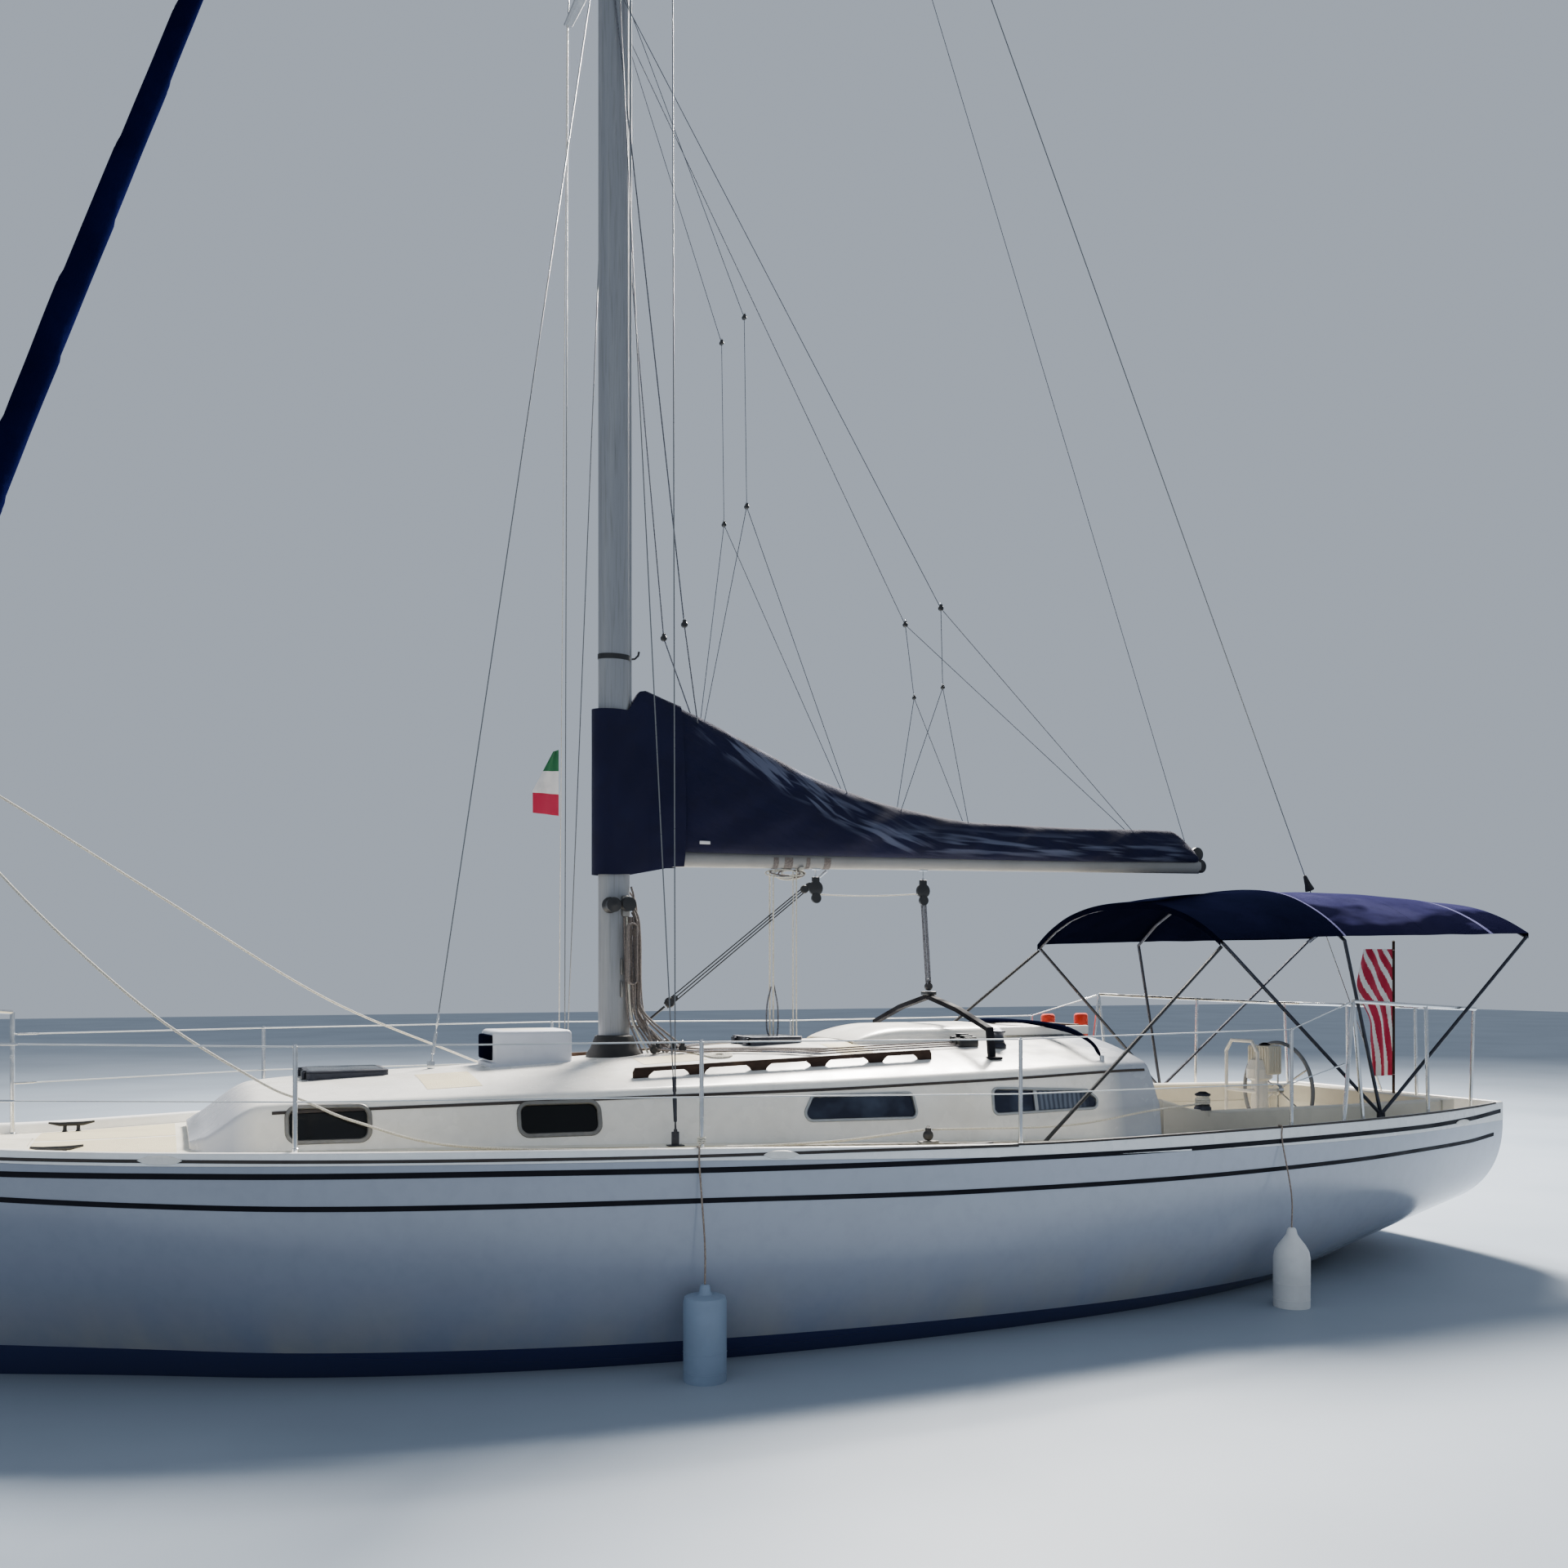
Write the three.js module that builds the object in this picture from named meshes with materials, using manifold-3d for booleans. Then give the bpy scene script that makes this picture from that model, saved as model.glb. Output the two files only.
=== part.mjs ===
// Sailing yacht, a masthead sloop of 11 m with its sails stowed.
// Millimetres. +X is forward, +Y is to port, +Z is up.
// The origin is on the centreline, amidships, at the waterline.
import * as THREE from 'three';
import { mergeVertices } from 'three/addons/utils/BufferGeometryUtils.js';
import Module from 'manifold-3d';

const wasm = await Module();
wasm.setup();

// Driving dimensions
const GAP = 0.3;
const SIDES = { port: 1, starboard: -1 };
const TRANSOM_X = -5500;
const DECK_CAMBER = 0.032;
const RAIL = { width: 45, proud: 6, bowTop: 1335 };

const MAST = { x: 985, halfLength: 100, halfWidth: 65, foot: 1450, head: 14400 };
const SPREADER = { z: 8600, reach: 1105 };
const CHAINPLATE = { x: 990, y: 1180, top: 1215 };
const STAY_RADIUS = 5;
const GOOSENECK = { x: 780, z: 2800, pin: 10, clearance: 0.6 };
const VANG = { z: 1770, reach: 1280, radius: 14, pin: 8 };
const BOOM = { length: 4350, halfHeight: 55, halfWidth: 40, rise: 71 };
const FORESTAY = { foot: [5420, 0, 1357], head: [1150, 0, 14380] };
const CRANE_BOTTOM = 14370;
const BACKSTAY = { foot: [-5425, 0, 1070], head: [815, 0, 14400] };
const BABY_STAY = { foot: [2110, 0, 1500], head: [1078, 0, 8540] };

const WALL = 30;
const COMPANIONWAY = { aft: -2345, halfWidth: 310, sill: 1105 };
const SLIDE = { front: -1660, aft: -2315, halfWidth: 330, bottom: 1677, thickness: 30 };
const SEA_HOOD = { front: -560, aft: -1590, halfWidth: 400, top: 1736, shell: 20 };
const SEAT_Z = 800;
const WELL = { front: -2800, aft: -4900, halfWidth: 360, floor: 380 };
const WHEEL = { x: -4330, z: 1170, radius: 380, tube: 14, hub: 42, bore: 16, axle: 15.2 };
const PEDESTAL = { x: -4150, radius: 70, top: 1250 };
const RUDDER = { x: -4750, top: 25, depth: 1400, stock: 28, clearance: 0.9 };
const SHAFT = { front: [-2450, 0, -330], aft: [-3760, 0, -545], radius: 16 };
const PROPELLER_RADIUS = 205;

// Named columns turn each row of a table into an object
function table(columns, rows) {
  return rows.map((row) => Object.fromEntries(columns.map((name, i) => [name, row[i]])));
}

// Hull stations from the bow aft: half beam at the deck edge, height of the deck edge,
// height of the keel line, fullness of the topsides, roundness of the bilge and height of the toe rail
const STATIONS = table(['x', 'beam', 'sheer', 'keel', 'fullness', 'bilge', 'rail'], [
  [5500, 30, 1275, 1190, 1.1, 1.0, 60],
  [5250, 170, 1244, 790, 1.15, 1.0, 63],
  [5000, 305, 1218, 430, 1.2, 1.05, 65],
  [4700, 470, 1190, 30, 1.3, 1.1, 65],
  [4300, 680, 1160, -190, 1.5, 1.2, 65],
  [3700, 985, 1149, -330, 1.8, 1.35, 65],
  [2970, 1290, 1146, -440, 2.2, 1.55, 65],
  [2000, 1510, 1132, -520, 2.6, 1.75, 65],
  [1000, 1635, 1111, -560, 2.9, 1.9, 65],
  [0, 1690, 1075, -570, 3.0, 1.95, 68],
  [-1000, 1700, 1037, -545, 2.95, 1.95, 76],
  [-2000, 1665, 1010, -470, 2.8, 2.0, 102],
  [-3000, 1570, 990, -310, 2.6, 2.05, 121],
  [-3800, 1455, 983, -130, 2.45, 2.1, 128],
  [-4500, 1310, 984, 40, 2.35, 2.15, 128],
  [-5100, 1150, 989, 165, 2.3, 2.2, 128],
  [-5500, 1040, 993, 245, 2.3, 2.2, 138],
]);

// Coachroof stations: half width at the deck and at the roof edge, heights of edge and crown
const ROOF = table(['x', 'base', 'edge', 'edgeZ', 'crown'], [
  [3440, 640, 600, 1212, 1218],
  [3370, 750, 720, 1240, 1285],
  [3090, 850, 772, 1402, 1462],
  [2600, 935, 850, 1415, 1497],
  [2000, 1025, 912, 1424, 1518],
  [1500, 1090, 960, 1431, 1542],
  [800, 1150, 1000, 1438, 1580],
  [0, 1165, 1022, 1444, 1625],
  [-600, 1165, 1036, 1456, 1648],
  [-1260, 1160, 1048, 1471, 1662],
  [-2270, 1130, 1050, 1498, 1671],
  [-2345, 1118, 1090, 1255, 1300],
]);

// Windows in each cabin side, as outlines of x and z seen from port
const WINDOWS = {
  1: [[2970, 1218], [2970, 1381], [2580, 1381], [2580, 1218]],
  2: [[1797, 1215], [1797, 1370], [1377, 1370], [1377, 1215]],
  3: [[183, 1233], [100, 1362], [-543, 1358], [-560, 1223]],
  4: [[-1092, 1221], [-1104, 1368], [-1789, 1335], [-1913, 1233]],
};

// Smooth values of a table's columns at x, by cubic pieces through its rows
function lookup(rows, x) {
  const last = rows.length - 1;
  const found = rows.findIndex((row) => row.x <= x);
  const i = Math.min(Math.max(found - 1, 0), last - 1);
  const before = rows[Math.max(i - 1, 0)];
  const a = rows[i];
  const b = rows[i + 1];
  const after = rows[Math.min(i + 2, last)];
  const span = b.x - a.x;
  const u = (x - a.x) / span;
  const values = {};
  for (const key of Object.keys(a)) {
    const slopeA = ((b[key] - before[key]) / (b.x - before.x)) * span;
    const slopeB = ((after[key] - a[key]) / (after.x - a.x)) * span;
    const u2 = u * u;
    const u3 = u2 * u;
    values[key] = (2 * u3 - 3 * u2 + 1) * a[key] + (u3 - 2 * u2 + u) * slopeA
      + (3 * u2 - 2 * u3) * b[key] + (u3 - u2) * slopeB;
  }
  return values;
}

function steps(from, to, count) {
  return Array.from({ length: count + 1 }, (_, i) => from + ((to - from) * i) / count);
}

// Geometry to solid and back
function solid(geometry) {
  geometry.deleteAttribute('normal');
  geometry.deleteAttribute('uv');
  const merged = mergeVertices(geometry, 1e-4);
  const mesh = new wasm.Mesh({
    numProp: 3,
    vertProperties: Float32Array.from(merged.attributes.position.array),
    triVerts: Uint32Array.from(merged.index.array),
  });
  return new wasm.Manifold(mesh);
}

function toGeometry(shape) {
  const mesh = shape.getMesh();
  const geometry = new THREE.BufferGeometry();
  geometry.setAttribute('position', new THREE.BufferAttribute(mesh.vertProperties, 3));
  geometry.setIndex(new THREE.BufferAttribute(mesh.triVerts, 1));
  return geometry;
}

function join(shapes) {
  return shapes.reduce((sum, shape) => sum.add(shape));
}

function cut(shape, ...tools) {
  return tools.reduce((rest, tool) => rest.subtract(tool), shape);
}

function largest(shape) {
  return shape.decompose().reduce((best, part) => (part.volume() > best.volume() ? part : best));
}

// Rings of equal point counts joined into one closed skin, with fans over both ends
function loft(rings, thin = false) {
  const count = rings[0].length;
  const points = rings.flat();
  const faces = [];
  for (let i = 0; i < rings.length - 1; i += 1) {
    for (let j = 0; j < count; j += 1) {
      const a = i * count + j;
      const b = i * count + ((j + 1) % count);
      faces.push([a, b, b + count], [a, b + count, a + count]);
    }
  }
  for (const [ring, flip] of [[0, true], [rings.length - 1, false]]) {
    if (thin) {
      for (let j = 0; j < count / 2 - 1; j += 1) {
        const [a, b, c, d] = [j, j + 1, count - 2 - j, count - 1 - j].map((k) => ring * count + k);
        faces.push(...(flip ? [[c, b, a], [d, c, a]] : [[a, b, c], [a, c, d]]));
      }
      continue;
    }
    const centre = points.length;
    const sum = rings[ring].reduce((s, p) => s.map((v, k) => v + p[k] / count), [0, 0, 0]);
    points.push(sum);
    for (let j = 0; j < count; j += 1) {
      const a = ring * count + j;
      const b = ring * count + ((j + 1) % count);
      faces.push(flip ? [b, a, centre] : [a, b, centre]);
    }
  }
  const volume = faces.reduce((v, [a, b, c]) => {
    const [p, q, r] = [points[a], points[b], points[c]];
    return v + p[0] * (q[1] * r[2] - q[2] * r[1]) + p[1] * (q[2] * r[0] - q[0] * r[2])
      + p[2] * (q[0] * r[1] - q[1] * r[0]);
  }, 0);
  const outward = volume > 0 ? faces : faces.map(([a, b, c]) => [a, c, b]);
  const geometry = new THREE.BufferGeometry();
  geometry.setAttribute('position', new THREE.Float32BufferAttribute(points.flat(), 3));
  geometry.setIndex(outward.flat());
  return solid(geometry);
}

function box(x0, x1, y0, y1, z0, z1) {
  const geometry = new THREE.BoxGeometry(Math.abs(x1 - x0), Math.abs(y1 - y0), Math.abs(z1 - z0));
  geometry.translate((x0 + x1) / 2, (y0 + y1) / 2, (z0 + z1) / 2);
  return solid(geometry);
}

function outline(points) {
  return new THREE.Shape(points.map(([a, b]) => new THREE.Vector2(a, b)));
}

function extrude(points, depth) {
  return new THREE.ExtrudeGeometry(outline(points), { depth, bevelEnabled: false });
}

// An outline of x and y, extruded upward
function slab(points, z0, z1) {
  const geometry = extrude(points, z1 - z0);
  geometry.translate(0, 0, z0);
  return solid(geometry);
}

// An outline of x and z, extruded to port
function slabAcross(points, y0, y1) {
  const geometry = extrude(points, y1 - y0);
  geometry.rotateX(Math.PI / 2);
  geometry.translate(0, y1, 0);
  return solid(geometry);
}

// An outline of y and z, extruded forward
function slabAlong(points, x0, x1) {
  const geometry = extrude(points, x1 - x0);
  const turn = new THREE.Matrix4().makeBasis(
    new THREE.Vector3(0, 1, 0),
    new THREE.Vector3(0, 0, 1),
    new THREE.Vector3(1, 0, 0),
  );
  geometry.applyMatrix4(turn);
  geometry.translate(x0, 0, 0);
  return solid(geometry);
}

function circle(radius, sides) {
  return steps(0, 2 * Math.PI, sides).slice(0, sides)
    .map((a) => [radius * Math.cos(a), radius * Math.sin(a)]);
}

// A round bar along a smooth curve through the points
function tube(points, radius, { sides = 8, pieces = 1 } = {}) {
  const path = new THREE.CatmullRomCurve3(points.map((p) => new THREE.Vector3(...p)));
  const section = outline(circle(radius, sides));
  const options = { steps: pieces, extrudePath: path, bevelEnabled: false };
  return solid(new THREE.ExtrudeGeometry(section, options));
}

// A round bar through the points, mitred at each bend
function sweep(points, radius, sides = 8) {
  const at = points.map((p) => new THREE.Vector3(...p));
  const along = at.slice(1).map((p, i) => p.clone().sub(at[i]).normalize());
  const steep = Math.abs(along[0].x) > 0.9;
  const across = new THREE.Vector3(steep ? 0 : 1, steep ? 1 : 0, 0);
  return loft(at.map((p, i) => {
    const before = along[Math.max(i - 1, 0)];
    const after = along[Math.min(i, along.length - 1)];
    const facing = before.clone().add(after).normalize();
    across.sub(before.clone().multiplyScalar(across.dot(before))).normalize();
    const up = before.clone().cross(across);
    return circle(radius, sides).map(([a, b]) => {
      const offset = across.clone().multiplyScalar(a).addScaledVector(up, b);
      const slide = -offset.dot(facing) / before.dot(facing);
      return p.clone().add(offset).addScaledVector(before, slide).toArray();
    });
  }));
}

// Straight round bars through the points, joined by a ball at each bend
function rods(points, radius, sides = 8) {
  const parts = [];
  for (let i = 0; i < points.length - 1; i += 1) {
    parts.push(tube([points[i], points[i + 1]], radius, { sides }));
    if (i > 0) {
      const ball = new THREE.IcosahedronGeometry(radius * 1.05, 0);
      ball.translate(...points[i]);
      parts.push(solid(ball));
    }
  }
  return join(parts);
}

// A turned shape about the upright axis, from rows of radius and height
function turned(profile, sides = 16) {
  const points = profile.map(([r, z]) => new THREE.Vector2(r, z));
  const geometry = new THREE.LatheGeometry(points, sides);
  geometry.rotateX(Math.PI / 2);
  return geometry;
}

function drum(x, y, z0, z1, radius, sides = 16) {
  const geometry = turned([[0, z0], [radius, z0], [radius, z1], [0, z1]], sides);
  geometry.translate(x, y, 0);
  return solid(geometry);
}

// Hull surface
function hullRing(x, lift) {
  const at = lookup(STATIONS, x);
  const side = steps(0, Math.PI / 2, 9).map((angle) => [
    at.beam * Math.sin(angle) ** (2 / at.bilge),
    at.keel + (at.sheer - at.keel) * (1 - Math.cos(angle) ** (2 / at.fullness)),
  ]);
  side[side.length - 1] = [at.beam, at.sheer];
  const camber = at.beam * DECK_CAMBER;
  const deck = [0.7, 0.35, 0, -0.35, -0.7]
    .map((part) => [part * at.beam, at.sheer + camber * (1 - part * part)]);
  const back = side.slice(1).reverse().map(([y, z]) => [-y, z]);
  return [...side, ...deck, ...back].map(([y, z]) => [x, y, z + lift]);
}

const HULL_X = [5500, 5375, 5250, 5125, 5000, 4850, 4700, 4500, 4300, 4000, 3700, 3335, 2970,
  2500, 2000, 1500, 1000, 500, 0, -500, -1000, -1500, -2000, -2500, -3000, -3400, -3800, -4150,
  -4500, -4800, -5100, -5500];

function hullBlock(lift = 0) {
  return loft(HULL_X.map((x) => hullRing(x, lift)));
}

// Symmetric plan outline from rows of x and half width
function plan(rows) {
  const port = rows.map(([x, half]) => [x, half]);
  const starboard = rows.map(([x, half]) => [x, -half]).reverse();
  return [...port, ...starboard];
}

// Coachroof surface, moved in by an inset on every side but the bottom
function roofZ(at, y) {
  return at.edgeZ + (at.crown - at.edgeZ) * (1 - (y / at.edge) ** 2);
}

function roofBlock(inset, { lift = 0, bottom = 900 } = {}) {
  const ends = { [ROOF[0].x]: -2.2 * inset, [ROOF[1].x]: -1.8 * inset, [ROOF[2].x]: -1.2 * inset };
  const aft = { [ROOF.at(-2).x]: inset, [ROOF.at(-1).x]: inset };
  const rings = ROOF.map((row) => {
    const x = row.x + (ends[row.x] ?? 0) + (aft[row.x] ?? 0);
    const half = [0.93, 0.8, 0.6, 0.4, 0.2, 0];
    const side = [
      [row.base - inset, bottom],
      [row.base - inset, 1000],
      [row.edge - inset, row.edgeZ - inset],
      ...half.map((part) => [part * (row.edge - inset), roofZ(row, part * row.edge) - inset]),
    ];
    const back = side.slice(0, -1).reverse().map(([y, z]) => [-y, z]);
    return [...side, ...back].map(([y, z]) => [x, y, z + lift]);
  });
  return loft(rings);
}

function roofHeight(x, y) {
  return roofZ(lookup(ROOF, x), y);
}

function mastSection(grow) {
  return steps(0, 2 * Math.PI, 20).slice(0, 20).map((a) => [
    MAST.x + (MAST.halfLength + grow) * Math.cos(a),
    (MAST.halfWidth + grow) * Math.sin(a),
  ]);
}

const yacht = new THREE.Group();

const LOOKS = {
  gelcoat: { color: 0xf2f1ec, roughness: 0.3, metalness: 0 },
  deck: { color: 0xe9e4d4, roughness: 0.6, metalness: 0 },
  bottomPaint: { color: 0x1c2547, roughness: 0.8, metalness: 0 },
  spar: { color: 0xb9bab8, roughness: 0.4, metalness: 0.6 },
  boomWhite: { color: 0xe8e8e6, roughness: 0.4, metalness: 0 },
  stainless: { color: 0xc9ccce, roughness: 0.2, metalness: 1 },
  canvas: { color: 0x141a3c, roughness: 0.9, metalness: 0 },
  teak: { color: 0x4a3222, roughness: 0.7, metalness: 0 },
  smoked: { color: 0x22262c, roughness: 0.1, metalness: 0 },
  black: { color: 0x141416, roughness: 0.5, metalness: 0 },
  bronze: { color: 0x8f6b35, roughness: 0.4, metalness: 0.9 },
  iron: { color: 0x5b6068, roughness: 0.7, metalness: 0.3 },
  fender: { color: 0xeceae4, roughness: 0.5, metalness: 0 },
  red: { color: 0xc4271f, roughness: 0.7, metalness: 0 },
  flag: { color: 0xb92b36, roughness: 0.8, metalness: 0 },
};

function piece(name, shape, look, parent = yacht) {
  const material = new THREE.MeshStandardMaterial(LOOKS[look]);
  const mesh = new THREE.Mesh(toGeometry(shape), material);
  mesh.name = name;
  parent.add(mesh);
  return mesh;
}

function groupAt(x, y, z) {
  const group = new THREE.Group();
  group.position.set(x, y, z);
  yacht.add(group);
  return group;
}

// Lids cut into flat or cambered surfaces
const ANCHOR_LID = { aft: 4220, front: 4820, halfAft: 190, halfFront: 130, thickness: 25 };
const LOCKER_LID = { aft: -3950, front: -2950, inner: 470, outer: 900, thickness: 22 };
const LID_CLEARANCE = 5.5;

function anchorLidPlan(grow) {
  return plan([
    [ANCHOR_LID.aft - grow, ANCHOR_LID.halfAft + grow],
    [ANCHOR_LID.front + grow, ANCHOR_LID.halfFront + grow],
  ]);
}

function lockerBox(side, grow, z0, z1) {
  const inner = side * (LOCKER_LID.inner - grow);
  const outer = side * (LOCKER_LID.outer + grow);
  return box(LOCKER_LID.aft - grow, LOCKER_LID.front + grow, inner, outer, z0, z1);
}

const block = hullBlock();
const deckTool = block.add(hullBlock(GAP));
const bottomTool = block.add(hullBlock(-GAP));

function makeHull() {
  const cabin = slab(plan([
    [3050, 560], [2600, 850], [2000, 940], [1500, 1000], [800, 1065], [0, 1080], [-1260, 1075],
    [-2200, 1040],
  ]), 250, 1400);
  const sole = slab(plan([[2500, 300], [1500, 340], [-2200, 350]]), -200, 260);
  const seats = slab(plan([[-2425, 1000], [-4000, 960], [-5000, 820]]), SEAT_Z, 1400);
  const well = box(WELL.aft, WELL.front, -WELL.halfWidth, WELL.halfWidth, WELL.floor, SEAT_Z + 50);
  const lidRecess = slab(anchorLidPlan(LID_CLEARANCE), 1000, 1400)
    .subtract(hullBlock(-ANCHOR_LID.thickness - GAP));
  const chainLocker = slab(anchorLidPlan(-25), 800, 1400);
  const lockers = Object.values(SIDES).flatMap((side) => [
    lockerBox(side, LID_CLEARANCE, SEAT_Z - LOCKER_LID.thickness - GAP, SEAT_Z + 50),
    lockerBox(side, -25, 480, SEAT_Z + 50),
  ]);
  const stockBore = drum(RUDDER.x, 0, -100, 330, RUDDER.stock + RUDDER.clearance);
  const tools = [cabin, sole, seats, well, lidRecess, chainLocker, ...lockers, stockBore];
  piece('hull', cut(block, ...tools), 'gelcoat');
}

// Symmetric foil section, thickest at a third of its chord
function foil(x, z, chord, thickness, count = 7) {
  const half = steps(0, 1, count).map((s) => {
    const u = s * s * (3 - 2 * s);
    const y = 5 * thickness * (0.2969 * Math.sqrt(u) - 0.126 * u - 0.3516 * u * u
      + 0.2843 * u ** 3 - 0.1015 * u ** 4);
    return [x - chord * u, Math.max(y, 0)];
  });
  const port = half.slice(1);
  const starboard = half.slice(1).reverse().map(([a, y]) => [a, -y]);
  port[port.length - 1][1] = 2;
  starboard[0][1] = -2;
  return [half[0], ...port, ...starboard].map(([a, y]) => [a, y, z]);
}

function makeKeel() {
  const fin = loft([
    foil(1650, -300, 2900, 250),
    foil(1450, -700, 2600, 230),
    foil(1050, -1700, 1900, 200),
    foil(1000, -1800, 1800, 150),
  ]);
  piece('keel', fin.subtract(bottomTool), 'iron');
}

function makeUnderwaterGear() {
  const shaft = tube([SHAFT.front, SHAFT.aft], SHAFT.radius, { sides: 10 });
  const at = 0.86;
  const bearing = SHAFT.front.map((v, i) => v + (SHAFT.aft[i] - v) * at);
  const direction = new THREE.Vector3(...SHAFT.aft)
    .sub(new THREE.Vector3(...SHAFT.front))
    .normalize();
  const ends = [-70, 70].map((d) => bearing.map((v, i) => v + direction.getComponent(i) * d));
  const barrel = tube(ends, 34, { sides: 12 });
  const leg = box(bearing[0] - 60, bearing[0] + 60, -9, 9, bearing[2], 100);
  const gear = join([shaft, barrel, leg]).subtract(bottomTool);
  piece('propeller_shaft', largest(gear), 'stainless');

  const group = groupAt(...SHAFT.aft);
  group.quaternion.setFromUnitVectors(new THREE.Vector3(0, 0, 1), direction);
  const hub = solid(turned([[0, 1], [38, 1], [40, 30], [38, 80], [14, 120], [0, 122]]));
  const blades = [0, 1, 2].map((i) => {
    const rings = table(['r', 'chord', 'pitch'], [
      [25, 60, 1.0], [80, 105, 0.75], [140, 120, 0.55], [190, 80, 0.42],
      [PROPELLER_RADIUS, 30, 0.38],
    ]).map(({ r, chord, pitch }) => steps(0, 2 * Math.PI, 8).slice(0, 8).map((a) => {
      const u = (chord / 2) * Math.cos(a);
      const v = 5 * Math.sin(a);
      const turn = (i * 2 * Math.PI) / 3;
      const p = new THREE.Vector3(
        r,
        u * Math.cos(pitch) - v * Math.sin(pitch),
        50 + u * Math.sin(pitch) + v * Math.cos(pitch),
      );
      return p.applyAxisAngle(new THREE.Vector3(0, 0, 1), turn).toArray();
    }));
    return loft(rings);
  });
  piece('propeller', join([hub, ...blades]), 'bronze', group);
}

function makeRudder() {
  const group = groupAt(RUDDER.x, 0, RUDDER.top);
  const blade = loft([
    foil(120, 0, 560, 76), foil(110, -300, 540, 70), foil(80, -RUDDER.depth, 390, 46),
  ]);
  const stock = drum(0, 0, -200, 270, RUDDER.stock);
  piece('rudder', join([blade, stock]), 'bottomPaint', group);
}

function makeEngine() {
  piece('engine', box(-2180, -1480, -250, 250, -200 + GAP, 380), 'iron');
}

// Height of the deck's faceted edge strip, which the toe rail stands on
function edgeStripHeight({ beam, sheer }, y) {
  const first = 0.7;
  const rise = beam * DECK_CAMBER * (1 - first * first);
  return sheer + (rise * (beam - y)) / (beam * (1 - first));
}

function makeToeRail() {
  const bowStart = 5375;
  const sides = Object.values(SIDES).map((side) => loft(HULL_X.filter((x) => x <= bowStart).map((x) => {
    const at = lookup(STATIONS, x);
    const inner = at.beam - RAIL.width;
    const outer = at.beam + RAIL.proud;
    const top = at.sheer + at.rail;
    return [
      [inner, edgeStripHeight(at, inner) + GAP + 0.1], [outer, at.sheer + GAP + 0.1], [outer, top - 12],
      [outer - 12, top], [inner + 8, top],
    ].map(([y, z]) => [x, side * y, z]);
  })));
  const bow = slab(plan([[5360, 108], [5440, 68], [5506, 34]]), 1277, RAIL.bowTop);
  const stern = lookup(STATIONS, TRANSOM_X);
  const across = slab(
    plan([[TRANSOM_X, stern.beam + RAIL.proud], [TRANSOM_X + RAIL.width, stern.beam]]),
    stern.sheer,
    stern.sheer + stern.rail,
  );
  piece('toe_rail', join([...sides, bow, across]).subtract(deckTool), 'gelcoat');
}

// Hatches on the roof: their frames belong to the coachroof, and their lids are hinged in front
const HATCHES = table(['name', 'aft', 'front', 'half', 'lid'], [
  ['foredeck_hatch', 2380, 2830, 225, 1520],
  ['midships_hatch', -236, 128, 175, 1658],
]);
const HATCH = { thickness: 14, hole: 35, hingeOut: 12 };

function windowPrism(points, scale, side) {
  const middle = points.reduce((s, p) => [s[0] + p[0] / 4, s[1] + p[1] / 4], [0, 0]);
  const scaled = points.map((p) => p.map((v, i) => middle[i] + (v - middle[i]) * scale));
  return slabAcross(scaled, Math.min(side * 500, side * 1500), Math.max(side * 500, side * 1500));
}

const roofTool = roofBlock(0).add(roofBlock(0, { lift: GAP }));

function makeCoachroof() {
  const outer = roofBlock(0);
  const shell = outer.subtract(roofBlock(WALL, { bottom: 880 }));
  const frames = HATCHES.map(({ aft, front, half, lid }) => (
    box(aft, front, -half, half, lid - 80, lid - GAP)
  ));
  const holes = HATCHES.map(({ aft, front, half, lid }) => box(
    aft + HATCH.hole, front - HATCH.hole, HATCH.hole - half, half - HATCH.hole, lid - 200, lid + 50,
  ));
  const windows = Object.values(WINDOWS).flatMap((points) => (
    Object.values(SIDES).map((side) => windowPrism(points, 1, side))
  ));
  const { aft, halfWidth, sill } = COMPANIONWAY;
  const doorway = box(aft - 50, SLIDE.front + 40, -halfWidth, halfWidth, sill, 1800);
  const tools = [deckTool, roofBlock(WALL, { bottom: 880 }), ...holes, ...windows, doorway];
  piece('coachroof', cut(join([shell, ...frames]), ...tools), 'gelcoat');

  const pane = roofBlock(9).subtract(roofBlock(17, { bottom: 880 }));
  for (const [sideName, side] of Object.entries(SIDES)) {
    for (const [number, points] of Object.entries(WINDOWS)) {
      const glass = pane.intersect(windowPrism(points, 0.995, side));
      piece(`window_${sideName}_${number}`, glass, 'smoked');
    }
  }

  for (const { name, aft: back, front, half, lid } of HATCHES) {
    const hinge = front + HATCH.hingeOut;
    const group = groupAt(hinge, 0, lid);
    const plate = box(back - hinge, front - hinge, -half, half, 0.3, HATCH.thickness);
    const knuckles = [-0.6, 0.6].map((part) => (
      box(-HATCH.hingeOut - 4, 5, part * half - 20, part * half + 20, 2, HATCH.thickness)
    ));
    piece(`${name}_lid`, join([plate, ...knuckles]), 'smoked', group);
  }
}

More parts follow.
